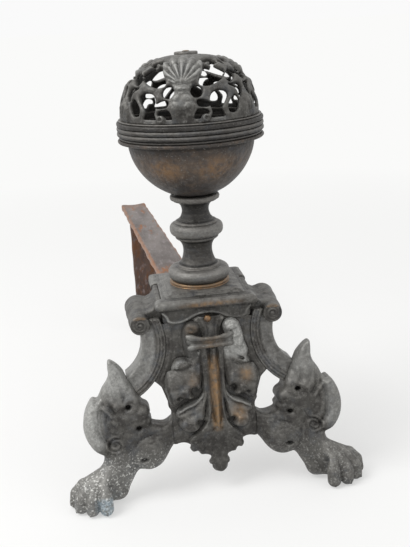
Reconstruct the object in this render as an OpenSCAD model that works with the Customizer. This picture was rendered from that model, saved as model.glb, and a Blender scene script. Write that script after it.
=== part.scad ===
// Andiron with a pierced ball, a turned baluster, a scrolled plinth and an acanthus
// front on two lion-paw legs, carried behind by a flat wrought-iron bar and leg.
// Millimetres, +Z up. The origin is on the floor under the middle of the footprint,
// the front faces -Y and the bar runs back along +Y.

/* [Ball] */
// How far the bowl's rim flange stands out from the plain body of the belt
rim_out = 2; // [1:0.25:3]
// Outer radius of the bowl's sphere
bowl_r = 61.6; // [58:0.1:65]
// Radius of the flat on which the bowl stands on its collar
bowl_foot_r = 16.2; // [14:0.1:22]
// How far the bowl's rim lies under the centre of its sphere
bowl_cut = 5; // [2:0.5:10]
// Wall of the bowl
bowl_wall = 4; // [3:0.25:6]
// Thickness of the bowl's flat floor, where the nut bears
bowl_floor = 6; // [4:0.5:10]
// Thickness of the rim flange
flange_h = 3.5; // [2.5:0.25:6]

/* [Lid] */
// Height of the reeded belt
belt_h = 18; // [15:0.5:24]
// Number of rolls on the belt
belt_rolls = 3; // [2:1:4]
// Radius of the belt's plain body and of the dome's foot
belt_r = 68.5; // [66:0.25:69]
// Radius of the dome's curve, which is also its height
dome_r = 56; // [48:0.5:62]
// Wall of the pierced dome
dome_wall = 3.6; // [2.5:0.1:5]
// How far the spigot under the belt reaches into the bowl
spigot_h = 5.5; // [3:0.5:8]
// Turn of the lid on the bowl, in degrees
lid_turn = -11.5; // [-60:0.5:60]
// Radius of the crown plate
crown_r = 11.3; // [8:0.1:14]
// Thickness of the crown plate
crown_h = 3; // [2:0.25:5]

/* [Baluster] */
// Radius of the collar under the bowl
collar_r = 24.7; // [23:0.1:30]
// Height of the collar
collar_h = 4.5; // [3.5:0.25:7]
// Height of the upper neck
upper_h = 23.7; // [20:0.1:30]
// Radius at the waist of the upper neck
upper_waist_r = 13.4; // [11:0.1:15]
// Greatest radius of the knop
knop_r = 26.6; // [24:0.1:30]
// Height of the knop
knop_h = 12.6; // [11:0.1:16]
// Height of the lower neck under the knop
lower_h = 32.7; // [28:0.1:40]
// Radius at the waist of the lower neck
lower_waist_r = 14.6; // [12:0.1:16]
// Greatest radius of the base torus
torus_r = 31; // [28:0.1:34]
// Height of the base torus
torus_h = 12.5; // [10:0.1:15]
// Radius of the thin ring under the torus
ring_r = 29.7; // [27:0.1:32]
// Height of the thin ring
ring_h = 4; // [3:0.25:6]
// Radius of the tie rod
rod_r = 5; // [4:0.25:6]

/* [Plinth] */
// Height of the plinth's top above the floor
plinth_z = 202; // [190:1:220]
// Height of the plinth from its underside to its top
plinth_h = 29; // [26:0.5:34]
// Half width of the plinth's fascia
fascia_x = 43.5; // [40:0.5:46]
// Half depth of the plinth's fascia
fascia_y = 44.5; // [40:0.5:50]
// How far the cornice stands out from the fascia
cornice_out = 6.5; // [4:0.25:8]
// Wall of the hollow plinth
plinth_wall = 6; // [4:0.5:8]

/* [Front] */
// Forward lean of the panel, arms and legs, in degrees
front_lean = 8; // [4:0.5:10]
// Distance from the middle to the centre of each volute
volute_x = 65.5; // [62:0.5:70]
// Radius of each volute at the front
volute_r = 9.8; // [8:0.1:11]
// How much each volute swells towards the back
volute_swell = 3; // [0:0.25:4]
// Depth of each volute from front to back
volute_depth = 60; // [40:1:70]
// Outer radius of the sweep of each arm
arm_out_r = 62; // [60:0.5:64]
// Width of each arm
arm_w = 23.5; // [20:0.5:26]
// Thickness of the panel plate
panel_t = 12; // [9:0.5:16]
// Thickness of each leg at its edge
leg_t = 20; // [16:0.5:26]
// Radius of the shoulder of each leg
shoulder_r = 28.5; // [26:0.5:31]

/* [Paws] */
// Distance from the middle to the centre of each paw
paw_x = 125; // [118:0.5:130]
// Radius of each toe
toe_r = 8.5; // [7:0.25:10]
// Number of toes on a paw
toe_count = 4; // [3:1:5]
// Distance from the middle of a paw to the middle of each toe tip
toe_reach = 17.5; // [14:0.5:21]

/* [Iron] */
// Width of the billet bar
bar_w = 38; // [32:0.5:44]
// Thickness of the billet bar
bar_t = 10; // [8:0.5:13]
// Length of the bar behind the tie rod
bar_len = 486; // [380:1:560]
// Turn of the bar about the tie rod, in degrees
bar_turn = 4.3; // [0:0.1:6]
// How far the rod's hole lies off the middle of the bar
bar_hole_off = 8; // [0:0.5:9]
// Distance from the rear leg to the bar's far end
leg_setback = 96; // [40:1:140]
// Width of the rear leg
rear_w = 36; // [26:0.5:38]
// Thickness of the rear leg
rear_t = 9; // [7:0.5:12]

/* [Hidden] */
$fn = 64;
soft_fn = 18;

// Clearances
rod_gap = 0.5;      // rod in the bores of the turned pieces
thread_gap = 0.08;  // nut on the rod
spigot_gap = 0.3;   // spigot in the bowl
lid_gap = 0.4;      // shadow gap between the belt and the flange
joint_gap = 0.1;    // between curved castings that meet
eps = 1;            // how far a cut runs past a face

// Heights of the stack, from the plinth up
ring_z = plinth_z;
torus_z = ring_z + ring_h;
lower_z = torus_z + torus_h;
knop_z = lower_z + lower_h;
upper_z = knop_z + knop_h;
collar_z = upper_z + upper_h;
bowl_z = collar_z + collar_h;
ball_z = bowl_z + sqrt(bowl_r * bowl_r - bowl_foot_r * bowl_foot_r);
flange_z = ball_z - bowl_cut;
seam_z = flange_z + flange_h;
belt_z = seam_z + lid_gap;
dome_z = belt_z + belt_h;
crown_z = dome_z + dome_r;
plinth_under = plinth_z - plinth_h;

// Ball sizes that follow from the belt and the bowl
rim_r = belt_r + rim_out;
lid_bore_r = bowl_r - bowl_wall - spigot_gap;
spigot_r = lid_bore_r - spigot_gap;
spigot_wall = 3;
belt_inner_r = belt_r - 5.5;
roll_r = (belt_h - 4) / (2 * belt_rolls);
dome_c = belt_r - dome_r;
swell_r = 14;
swell_rise = 2.2;
rivet_r = 2;
rivet_gap = 0.2;

// Openings of half a third of the dome, corners as degrees round and degrees of rise
dome_holes = [
    [[8, 30], [12, 24.5], [16.3, 30], [12, 35.5]],
    [[16, 38], [23, 35.5], [32, 38.5], [43, 44], [36, 52], [27, 57], [22, 50]],
    [[35, 55], [40, 50.5], [45, 48], [49, 49.5], [45.5, 55], [39, 61]],
    [[28, 65.5], [41, 61.5], [51, 63.5], [41, 70]],
    [[57.3, 51], [46.5, 44], [44.5, 39.5], [49, 37.5], [57.8, 44.5]],
    [[44.5, 33.5], [50, 28.5], [52, 21.5], [57, 26.5], [55.5, 32.5]],
    [[23.5, 3.5], [32.5, 3.5], [32, 12], [38.5, 24], [37, 28], [29, 28], [24, 23]],
    [[12.5, 21], [13, 16.5], [20, 15.5], [22, 18], [17, 21]],
    [[9.8, 3.5], [13.3, 3.5], [19.5, 9.3], [18, 12], [13, 12.5]],
    [[39, 8.5], [44.5, 8.5], [49, 15], [48.5, 21], [45.5, 21.5], [39, 14]]
];

// Baluster sizes that follow from the rod
bore_r = rod_r + rod_gap;
seam_r = 20.8;
neck_top_r = 22;

// Fasteners
nut_r = rod_r * 1.96;
nut_h = rod_r * 1.6;
washer_r = rod_r * 2.3;
washer_h = 2;
rod_spare = 6;

// Bar, held by the rod between the plinth's boss and the lower washer
bar_top = plinth_z - 22;
bar_under = bar_top - bar_t;
boss_r = 13;
bar_front = 20;
rear_y = bar_len - leg_setback;
tenon_w = rear_w / 2;
tenon_t = rear_t - 2;
foot_t = rear_t + 7;
foot_h = 14;

// Front castings, in a plane that leans about the plinth's lower front edge
front_y = -fascia_y - 1.5;
panel_front = front_y + 2;
panel_back = panel_front + panel_t;
arm_x = arm_out_r + 42;
arm_z = plinth_under - 15;
arm_in_r = arm_out_r - arm_w;
arm_start = 166;
arm_end = 239.5;
arm_back = front_y + 34;
shoulder_x = 104;
groove_w = 2;
groove_deep = 1.6;
shoulder_z = 76;
inner_x = 82;
inner_z = 84;
inner_r = 17.5;
lobe_x = 70;
lobe_z = 45.5;
lobe_r = 17.5;
window_x = 52;
window_z = 83.5;
window_r = 10;
arch_x = 34;
arch_z = 39.5;
arch_r = 12.5;
horn_x = 104;
horn_z = 119;
joint_x = 42;
tab_len = 16;
tab_t = 6;
screw_r = 2;
screw_x = joint_x - tab_len / 2;
screw_z = 60.5;

// Leaf: its lobes as x, z and radius, for the right-hand side
midrib_half = 7;
leaf_bulge_r = 46;
plume_bulge_r = 17;
web_t = 4;
pendant_top = 66;
upper_lobes = [[29, 131, 10], [38, 118, 9.5], [36, 100, 10.5], [22, 117, 12]];
lower_lobes = [[29, 87, 8], [29, 74.5, 9], [17, 90, 9]];
upper_web = [[9, 149], [20, 138], [34, 134], [44, 118], [42, 96], [26, 97], [17, 107], [9, 122]];
lower_web = [[9, 112], [18, 97], [32, 90], [36, 78], [26, 68], [9, 72]];
upper_eye = [19.5, 104.5, 3.6];
lower_eye = [15, 72, 3];
upper_veins = [[13, 138, 38, 127], [14, 122, 46, 109.5], [20, 112, 33, 99]];
lower_veins = [[12, 96, 36, 80], [13, 84, 24, 70]];
vein_r = 3;
vein_deep = 1.4;
plume_lobes = [[25, 165, 9.5], [27, 149, 8.5]];
pendant_lobes = [[21, 47, 5.5], [15, 40, 5.5], [8, 31, 5], [3.5, 25, 5]];

// Clasp, two bands round the leaf's neck
band_r = 3.4;
band_z = 154.5;
band_pitch = 6.5;
wrap_back = 12;
wrap_r = 27;
clasp_half = 22;
neck_half = 17;

// Paws
paw_y = front_y - 24;
paw_turn = [for (i = [0 : toe_count - 1]) 6 - i * 102 / (toe_count - 1)];
toe_z = toe_r - 0.6;
knuckle_z = 26;
knuckle_reach = toe_reach * 0.4;

// Footprint, which sets where the baluster stands in the frame
front_reach = -paw_y + toe_reach * max([for (turn = paw_turn) -sin(turn)]) + toe_r;
back_reach = bar_len * cos(bar_turn) + (bar_w / 2 - bar_hole_off) * sin(bar_turn);
stem_y = (front_reach - back_reach) / 2;

// ---- Placing -----------------------------------------------------------------

module at_stem(z = 0) translate([0, stem_y, z]) children();

module lid_place(z) at_stem(z) rotate([0, 0, lid_turn]) children();

// Outline drawn in x and z, made a plate from y = near back to y = far.
module plate(near, far) {
    translate([0, far, 0])
        rotate([90, 0, 0])
            linear_extrude(far - near)
                children();
}

// Tips the front castings about the plinth's lower front edge and trims them there.
module leaning() {
    difference() {
        at_stem()
            translate([0, front_y, plinth_under])
                rotate([-front_lean, 0, 0])
                    translate([0, -front_y, -plinth_under])
                        children();
        at_stem(plinth_under)
            translate([-200, -200, 0])
                cube([400, 400, 60]);
    }
}

module mirrored(side) {
    if (side < 0) mirror([1, 0, 0]) children();
    else children();
}

// Tapered limb with round ends, from p with radius a to q with radius b.
module limb(p, q, a, b) {
    hull() {
        translate(p) sphere(a, $fn = soft_fn);
        translate(q) sphere(b, $fn = soft_fn);
    }
}

// ---- Lid -----------------------------------------------------------------------

// Meridian of the dome: a quarter circle carried out from the axis.
module dome_profile(r) {
    intersection() {
        union() {
            translate([dome_c, 0]) circle(r);
            square([dome_c, r]);
        }
        square([dome_c + r + eps, r + eps]);
    }
}

// Puts a flat cutter on the dome at an azimuth from the front and a rise on its curve.
module on_dome(azimuth, rise) {
    rotate([0, 0, azimuth - 90])
        translate([dome_c, 0, 0])
            rotate([0, -rise, 0])
                rotate([90, 0, 90])
                    children();
}

// Cuts an opening given by its corners, in degrees from a shell's middle and of rise.
module pierce(corners) {
    middle = [for (i = [0, 1]) (max([for (c = corners) c[i]]) + min([for (c = corners) c[i]])) / 2];
    deg = PI / 180;
    girth = (dome_c + dome_r * cos(middle[1])) * deg;
    on_dome(middle[0], middle[1])
        translate([0, 0, dome_r - dome_wall - 6])
            linear_extrude(dome_wall + 14)
                polygon([for (c = corners) [(c[0] - middle[0]) * girth,
                                            (c[1] - middle[1]) * dome_r * deg]]);
}

// Openings of one half of one third of the dome, between a shell and a palmette.
module half_openwork() {
    for (corners = dome_holes) pierce(corners);
}

module openwork() {
    for (third = [0 : 2]) {
        rotate([0, 0, third * 120]) {
            half_openwork();
            mirror([1, 0, 0]) half_openwork();
            pierce([for (a = [0 : 45 : 315]) [60 + 4.6 * cos(a), 61.5 + 3.6 * sin(a)]]);
        }
    }
}

// Fan of ribs on a thin plate, standing on the dome.
module scallop() {
    rib_l = 26;
    rib_r = 2.5;
    on_dome(0, 41) {
        for (i = [-4 : 4]) {
            reach = rib_l - 0.75 * i * i;
            rotate([0, 0, i * 17])
                translate([0, 0, dome_r - 0.6 - i * i * 0.05])
                    rotate([-90 - 6, 0, 0])
                        cylinder(h = reach, r1 = 1, r2 = rib_r);
        }
        translate([0, -2, dome_r - 2]) cylinder(h = 4, r = 6);
    }
}

// Waisted stand under the shell, with the three leafy swellings that spread to the rim.
module pedestal() {
    on_dome(0, 33.5) translate([0, 0, dome_r - 2]) cylinder(h = 4.5, r1 = 7.5, r2 = 5.5);
    for (swell = [[0, 23], [-8, 12], [8, 12]])
        on_dome(swell[0], swell[1]) translate([0, 0, dome_r + swell_rise - swell_r]) sphere(swell_r);
}

module palmette() {
    for (a = [-36, 0, 36]) {
        on_dome(60, 2)
            rotate([0, 0, a])
                translate([0, 0, dome_r - 1.2])
                    rotate([-90 - 9, 0, 0])
                        cylinder(h = 17 - abs(a) / 9, r1 = 1.4, r2 = 3);
    }
}

module lid_dome() {
    color("#4b4843")
        lid_place(dome_z)
            difference() {
                union() {
                    difference() {
                        rotate_extrude() dome_profile(dome_r);
                        openwork();
                    }
                    for (third = [0 : 2]) {
                        rotate([0, 0, third * 120]) {
                            scallop();
                            pedestal();
                            palmette();
                        }
                    }
                }
                translate([0, 0, -swell_r]) cylinder(h = swell_r, r = belt_r + 20);
                rotate_extrude() dome_profile(dome_r - dome_wall);
                translate([0, 0, dome_r - dome_wall - eps])
                    cylinder(h = dome_wall + 2 * eps, r = rivet_r + rivet_gap);
            }
}

module belt_profile() {
    translate([belt_inner_r, 0]) square([belt_r - belt_inner_r, belt_h]);
    for (i = [0 : belt_rolls - 1])
        translate([belt_r - 0.4, 2.4 + roll_r * (2 * i + 1)]) circle(roll_r);
    translate([belt_r - 1, 1.1]) circle(1.1);
    translate([belt_r - 0.6, belt_h - 0.9]) circle(0.9);
    translate([spigot_r - spigot_wall, 0])
        square([belt_inner_r - spigot_r + spigot_wall + eps, 3]);
    translate([spigot_r - spigot_wall, -lid_gap - spigot_h])
        square([spigot_wall, spigot_h + lid_gap + eps]);
}

module lid_belt() {
    color("#57534d") lid_place(belt_z) rotate_extrude() belt_profile();
}

module crown_plate() {
    color("#55514a")
        lid_place(crown_z)
            difference() {
                cylinder(h = crown_h, r1 = crown_r, r2 = crown_r - 0.8);
                translate([0, 0, -eps])
                    cylinder(h = crown_h + 2 * eps, r = rivet_r + rivet_gap);
            }
}

module crown_rivet() {
    grip = dome_wall + crown_h;
    color("#5a554c")
        lid_place(crown_z - dome_wall) {
            translate([0, 0, -0.1]) cylinder(h = grip + 0.2, r = rivet_r);
            translate([0, 0, grip]) cylinder(h = 1, r1 = rivet_r * 1.8, r2 = rivet_r);
            translate([0, 0, -1.6]) cylinder(h = 1.6, r1 = rivet_r, r2 = rivet_r * 1.8);
        }
}

// ---- Bowl and baluster -----------------------------------------------------------

module rod_bore(z, h) {
    translate([0, 0, z - eps]) cylinder(h = h + 2 * eps, r = bore_r);
}

module bowl_profile() {
    difference() {
        union() {
            intersection() {
                translate([0, ball_z]) circle(bowl_r);
                translate([0, bowl_z]) square([bowl_r, flange_z - bowl_z + eps / 2]);
            }
            translate([0, flange_z]) square([rim_r - 1, flange_h]);
            translate([rim_r - flange_h / 2, flange_z + flange_h / 2]) circle(flange_h / 2);
        }
        intersection() {
            translate([0, ball_z]) circle(bowl_r - bowl_wall);
            translate([0, bowl_z + bowl_floor]) square([bowl_r, bowl_r * 2]);
        }
        translate([0, seam_z - spigot_h - 0.5]) square([lid_bore_r, bowl_r]);
    }
}

module bowl() {
    color("#4a4038")
        at_stem()
            difference() {
                rotate_extrude() intersection() {
                    bowl_profile();
                    square([rim_r + eps, seam_z]);
                }
                rod_bore(bowl_z, bowl_floor);
            }
}

module bowl_collar() {
    edge = collar_h / 2;
    color("#474440")
        at_stem()
            difference() {
                rotate_extrude() translate([0, collar_z]) {
                    square([collar_r - edge, collar_h]);
                    translate([collar_r - edge, edge]) circle(edge);
                    translate([0, edge]) square([collar_r - 0.4, edge]);
                }
                rod_bore(collar_z, collar_h);
            }
}

// Straight drum with a hollow of round section turned into its side.
module cove(z, h, low_r, high_r, waist_r, waist_z, lip) {
    cove_r = h / 2 - lip;
    difference() {
        translate([0, z]) polygon([[0, 0], [low_r, 0], [low_r, h / 2], [high_r, h / 2],
                                   [high_r, h], [0, h]]);
        translate([waist_r + cove_r, waist_z]) circle(cove_r);
        translate([waist_r + cove_r, waist_z - cove_r])
            square([max(low_r, high_r), 2 * cove_r]);
    }
}

module stem_upper() {
    color("#3f3d3b")
        at_stem()
            difference() {
                rotate_extrude()
                    cove(upper_z, upper_h, seam_r, neck_top_r, upper_waist_r,
                         upper_z + upper_h / 2, 1.6);
                rod_bore(upper_z, upper_h);
            }
}

module stem_lower() {
    knop_edge = knop_h / 2;
    color("#454340")
        at_stem()
            difference() {
                rotate_extrude() {
                    cove(lower_z, lower_h, seam_r + 0.6, neck_top_r, lower_waist_r,
                         lower_z + lower_h * 0.53, 2.6);
                    translate([0, knop_z]) square([seam_r, knop_h]);
                    translate([knop_r - knop_edge, knop_z + knop_edge]) circle(knop_edge);
                    translate([seam_r - 1, knop_z - 1.2]) circle(1.9);
                }
                rod_bore(lower_z, lower_h + knop_h);
            }
}

module stem_base() {
    edge = torus_h / 2;
    color("#4c4a47")
        at_stem()
            difference() {
                rotate_extrude() {
                    translate([0, torus_z]) square([torus_r - edge, torus_h]);
                    translate([torus_r - edge, torus_z + edge]) circle(edge);
                }
                rod_bore(torus_z, torus_h);
            }
}

module base_ring() {
    edge = ring_h / 2;
    color("#8a6040")
        at_stem()
            difference() {
                rotate_extrude() {
                    translate([0, ring_z]) square([ring_r - edge, ring_h]);
                    translate([ring_r - edge, ring_z + edge]) circle(edge);
                }
                rod_bore(ring_z, ring_h);
            }
}

module tie_rod() {
    low = bar_under - washer_h - nut_h - rod_spare;
    high = bowl_z + bowl_floor + washer_h + nut_h + rod_spare;
    color("#5b4a3e")
        at_stem(low)
            cylinder(h = high - low, r = rod_r);
}

module rod_nuts() {
    color("#5a4436")
        for (z = [bar_under - washer_h - nut_h, bowl_z + bowl_floor + washer_h])
            at_stem(z)
                difference() {
                    cylinder(h = nut_h, r = nut_r, $fn = 6);
                    translate([0, 0, -eps])
                        cylinder(h = nut_h + 2 * eps, r = rod_r + thread_gap);
                }
}

module rod_washers() {
    color("#5f4a3a")
        for (z = [bar_under - washer_h, bowl_z + bowl_floor])
            at_stem(z)
                difference() {
                    cylinder(h = washer_h, r = washer_r);
                    translate([0, 0, -eps])
                        cylinder(h = washer_h + 2 * eps, r = rod_r + rod_gap / 2);
                }
}

// ---- Plinth ----------------------------------------------------------------------

// Section of the plinth for a given half width: fascia, cornice and sloped cap.
module plinth_profile(half) {
    cap_in = half - 3.5;
    polygon([[-half + 2, plinth_under], [half - 2, plinth_under],
             [half, plinth_under + 4], [half, plinth_z - 12.5],
             [half + cornice_out - 1.5, plinth_z - 12.5], [half + 1, plinth_z - 3.5],
             [cap_in, plinth_z - 3.5], [cap_in - 5.5, plinth_z - 1.2],
             [cap_in - 9, plinth_z],
             [-cap_in + 9, plinth_z], [-cap_in + 5.5, plinth_z - 1.2],
             [-cap_in, plinth_z - 3.5],
             [-half - 1, plinth_z - 3.5], [-half - cornice_out + 1.5, plinth_z - 12.5],
             [-half, plinth_z - 12.5], [-half, plinth_under + 4]]);
    for (s = [-1, 1])
        translate([s * (half + cornice_out - 5), plinth_z - 8]) circle(5);
}

module plinth_block() {
    intersection() {
        plate(-100, 100) plinth_profile(fascia_x);
        rotate([0, 0, 90]) plate(-100, 100) plinth_profile(fascia_y);
    }
}

module plinth() {
    inner_top = plinth_z - plinth_wall - 2;
    color("#4d4b48")
        at_stem()
            difference() {
                plinth_block();
                // Hollow, open below and behind
                difference() {
                    translate([-fascia_x + plinth_wall, -fascia_y + plinth_wall, 0])
                        cube([2 * (fascia_x - plinth_wall), 2 * fascia_y, inner_top]);
                    translate([0, 0, bar_top])
                        cylinder(h = plinth_z - bar_top, r = boss_r);
                }
                // Flat seats for the consoles
                for (s = [-1, 1])
                    translate([s > 0 ? fascia_x - 1 : -fascia_x - 29,
                               front_y + 10, plinth_under - eps])
                        cube([30, volute_depth - 8, plinth_h - 2.5]);
                rod_bore(bar_top, plinth_z - bar_top);
            }
}

// ---- Consoles ----------------------------------------------------------------------

// Section of an arm: outward from the centre of its sweep, and forward.
module arm_section() {
    ridge = (arm_w - 9.5) / 3;
    outer = arm_out_r - joint_gap;
    polygon(concat(
        [[arm_in_r, -arm_back], [arm_in_r, -front_y - 10]],
        [for (i = [0 : 2]) each [
            [arm_in_r + 8.5 + i * (ridge + 0.5), -front_y - 1.6],
            [arm_in_r + 9.2 + i * (ridge + 0.5), -front_y],
            [arm_in_r + 7.8 + ridge + i * (ridge + 0.5), -front_y]]],
        [[outer, -front_y - 1], [outer, -arm_back]]));
}

module arm_sweep() {
    translate([arm_x, 0, arm_z])
        rotate([90, 0, 0])
            rotate([0, 0, arm_start])
                rotate_extrude(angle = arm_end - arm_start)
                    arm_section();
}

// Shoulder that runs from the plinth's side out to the volute.
module console_shoulder() {
    seat = fascia_x - 1;
    volute_z = plinth_under + 2.5;
    sweep = 16;
    difference() {
        polygon([[seat, plinth_under], [seat, plinth_z - 5], [volute_x, plinth_z - 5],
                 [volute_x, volute_z - volute_r + 0.5], [arm_x - arm_in_r - 8, plinth_under - 7],
                 [seat + 6, plinth_under - 4]]);
        translate([seat + 4.5 + sweep, volute_z + volute_r + sweep - 0.6]) circle(sweep);
        translate([seat + 4.5 + sweep, volute_z + volute_r]) square([sweep, sweep]);
    }
}

module volute_grooves() {
    for (r = [volute_r * 0.72, volute_r * 0.38])
        difference() {
            cylinder(h = 4, r = r, center = true);
            cylinder(h = 6, r = r - 1.3, center = true);
        }
}

module console(side) {
    volute_z = plinth_under + 2.5;
    back = front_y + volute_depth;
    color("#55534f") {
        mirrored(side)
            at_stem()
                difference() {
                    union() {
                        translate([volute_x, back, volute_z])
                            rotate([90, 0, 0])
                                cylinder(h = volute_depth, r1 = volute_r + volute_swell, r2 = volute_r);
                        plate(front_y + 10.1, back) console_shoulder();
                        plate(front_y + 1, front_y + 12)
                            translate([fascia_x + 0.1, plinth_under - 5])
                                square([volute_x - fascia_x, 16]);
                    }
                    translate([volute_x, front_y, volute_z])
                        rotate([90, 0, 0]) volute_grooves();
                }
        mirrored(side) leaning() arm_sweep();
    }
}

module console_left() console(-1);
module console_right() console(1);

// ---- Panel and leaf ------------------------------------------------------------------

module panel_outline() {
    difference() {
        polygon([[-58, plinth_under + 8], [58, plinth_under + 8], [58, 120],
                 [50, 112], [44.5, 95], [42, 84], [joint_x, 62], [joint_x, 52],
                 [20, 46], [-20, 46], [-joint_x, 52], [-joint_x, 62], [-42, 84],
                 [-44.5, 95], [-50, 112], [-58, 120]]);
        for (s = [-1, 1]) {
            translate([s * arm_x, arm_z]) circle(arm_out_r);
            translate([s * window_x, window_z]) circle(window_r);
            translate([s * arch_x, arch_z]) circle(arch_r);
        }
    }
}

module center_panel() {
    color("#3a3835")
        leaning()
            difference() {
                plate(panel_front, panel_back) panel_outline();
                for (s = [-1, 1])
                    translate([s * screw_x, panel_back + eps, screw_z])
                        rotate([90, 0, 0]) cylinder(h = panel_t - 3, r = screw_r);
            }
}

module lobe_circles(lobes, grow = 0) {
    for (l = lobes) translate([l[0], l[1]]) circle(l[2] + grow);
}

// Ball sunk in the panel, of which a cap of the given rise stands out in front.
module cap(x, z, rise, ball_r) {
    translate([x, panel_front - rise + ball_r, z]) sphere(ball_r);
}

// Part of a leaf: sawn to an outline, swelling forward, with scooped veins.
module carved(middle, rise, veins) {
    difference() {
        intersection() {
            plate(panel_front - 2 * rise, panel_front) children();
            union() {
                plate(panel_front - web_t, panel_front) square(2 * plinth_z);
                cap(middle[0], middle[1], rise, leaf_bulge_r);
            }
        }
        for (v = veins) {
            run = [v[2] - v[0], v[3] - v[1]];
            translate([v[0], panel_front - rise - vein_r + vein_deep, v[1]])
                rotate([0, 90 - atan2(run[1], run[0]), 0])
                    rotate([-7, 0, 0])
                        cylinder(h = norm(run) + 2, r1 = vein_r * 0.6, r2 = vein_r);
        }
    }
}

module upper_outline(grow = 0) {
    lobe_circles(upper_lobes, grow);
    polygon(upper_web);
}

// Strip beside the midrib that the lobes keep out of.
module midrib_strip(half) {
    translate([-half, 0]) square([2 * half, plinth_z]);
}

module leaf_upper() {
    color("#56514a")
        leaning()
            for (s = [-1, 1])
                mirrored(s) {
                    carved([26, 118], 10, upper_veins)
                        difference() {
                            upper_outline();
                            translate([upper_eye[0], upper_eye[1]]) circle(upper_eye[2]);
                            midrib_strip(midrib_half + joint_gap);
                            lobe_circles(plume_lobes, joint_gap);
                        }
                    difference() {
                        intersection() {
                            plate(panel_front - plume_bulge_r, panel_front)
                                difference() {
                                    lobe_circles(plume_lobes);
                                    midrib_strip(neck_half + joint_gap);
                                }
                            union() for (l = plume_lobes) cap(l[0], l[1], l[2] * 0.6, plume_bulge_r);
                        }
                        clasp_bands(band_r + joint_gap);
                    }
                }
}

module leaf_lower() {
    color("#4f463c")
        leaning()
            for (s = [-1, 1])
                mirrored(s)
                    carved([22, 84], 9, lower_veins)
                        difference() {
                            union() {
                                lobe_circles(lower_lobes);
                                polygon(lower_web);
                            }
                            upper_outline(2 * joint_gap);
                            translate([lower_eye[0], lower_eye[1]]) circle(lower_eye[2]);
                            midrib_strip(midrib_half + joint_gap);
                            square([60, pendant_top + joint_gap]);
                        }
}

// Midrib that widens into the pendant with its fringe of lobes.
module leaf_midrib() {
    color("#7c5330")
        leaning() {
            // Keel between two flanking ribs
            intersection() {
                union() {
                    limb([0, panel_front - 6, 150], [0, panel_front - 9, 100], 3.6, 4.6);
                    limb([0, panel_front - 9, 100], [0, panel_front - 3, 62], 4.6, 3.4);
                    for (s = [-1, 1])
                        limb([s * 4.6, panel_front - 2, 150], [s * 3, panel_front, 64], 3.6, 3.6);
                    translate([-2, panel_front - 8, pendant_top]) cube([4, 8, 86]);
                }
                translate([-midrib_half, panel_front - 40, 50]) cube([2 * midrib_half, 40, 110]);
            }
            // Neck, round where the clasp wraps it
            intersection() {
                translate([0, panel_front + wrap_back, 149])
                    cylinder(h = 20, r = wrap_r - band_r - joint_gap);
                translate([-neck_half, panel_front - 40, 149]) cube([2 * neck_half, 40, 20]);
            }
            plate(panel_front - 8, panel_front)
                intersection() {
                    union() {
                        polygon([[-13, 66], [13, 66], [20, 52], [14, 36], [6, 24], [0, 17],
                                 [-6, 24], [-14, 36], [-20, 52]]);
                        for (s = [-1, 1])
                            for (lobe = pendant_lobes)
                                translate([s * lobe[0], lobe[1]]) circle(lobe[2]);
                    }
                    translate([-40, 0]) square([80, pendant_top]);
                }
        }
}

// Strap with a round band along each edge, wrapped round the neck and open at the back.
module clasp_bands(r) {
    intersection() {
        translate([0, panel_front + wrap_back, band_z])
            rotate_extrude() {
                for (rise = [0, band_pitch]) translate([wrap_r, rise]) circle(r);
                translate([wrap_r - r + 0.3, 0]) square([r, band_pitch]);
            }
        translate([-clasp_half, panel_front - 40, 140]) cube([2 * clasp_half, 39.9, 40]);
    }
}

module leaf_clasp() {
    color("#45423e") leaning() clasp_bands(band_r);
}

module leaf_bead() {
    bead_r = 3.6;
    color("#8f6239")
        at_stem()
            translate([0, front_y - 2, plinth_under + 5]) {
                sphere(bead_r);
                rotate([-90, 0, 0]) cylinder(h = 3.4, r = 2);
            }
}

// ---- Legs -----------------------------------------------------------------------------

// Point on the flat end of an arm, at a radius of its sweep.
function arm_end_at(r) = [arm_x + r * cos(arm_end), arm_z + r * sin(arm_end)];

// Room for an arm, a band of its sweep.
module arm_room() {
    translate([arm_x, arm_z])
        intersection() {
            difference() {
                circle(arm_out_r + joint_gap);
                circle(arm_in_r - joint_gap);
            }
            polygon([[0, 0], for (a = [arm_start - 20, arm_start + 15, arm_end])
                                [100 * cos(a), 100 * sin(a)]]);
        }
}

// Pointed horn that curls outward, with the second leaf point at its foot.
module horn_outline() {
    difference() {
        union() {
            intersection() {
                translate([horn_x, horn_z]) circle(20);
                polygon([[70, 95], [70, 145], [104, 145], [112, 112], [104, 95]]);
            }
            polygon([[84, 96], [92, 114], [106, 116], [112, 109], [119, 102], [122, 92]]);
        }
        translate([horn_x + 15, horn_z + 12]) circle(20);
    }
}

module leg_outline() {
    difference() {
        union() {
            translate([shoulder_x, shoulder_z]) circle(shoulder_r);
            translate([inner_x, inner_z]) circle(inner_r);
            translate([lobe_x, lobe_z]) circle(lobe_r);
            // Body between the three rounds, and the bridge to the panel
            polygon([[64, 74], [73, 104], [90, 110], [114, 50], [84, 30], [72, 25],
                     [joint_x, 44], [joint_x, 68]]);
            horn_outline();
            // Seat of the arm's end
            polygon([arm_end_at(arm_out_r), arm_end_at(arm_in_r),
                     [horn_x - 12, horn_z + 8], [horn_x, horn_z - 18], [inner_x, inner_z]]);
        }
        arm_room();
        translate([window_x, window_z]) circle(window_r);
        translate([arch_x, arch_z]) circle(arch_r);
        translate([0, 10]) square([joint_x, 120]);
    }
}

module ring(x, z, r) {
    translate([x, z])
        difference() {
            circle(r + groove_w / 2);
            circle(r - groove_w / 2);
        }
}

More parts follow.
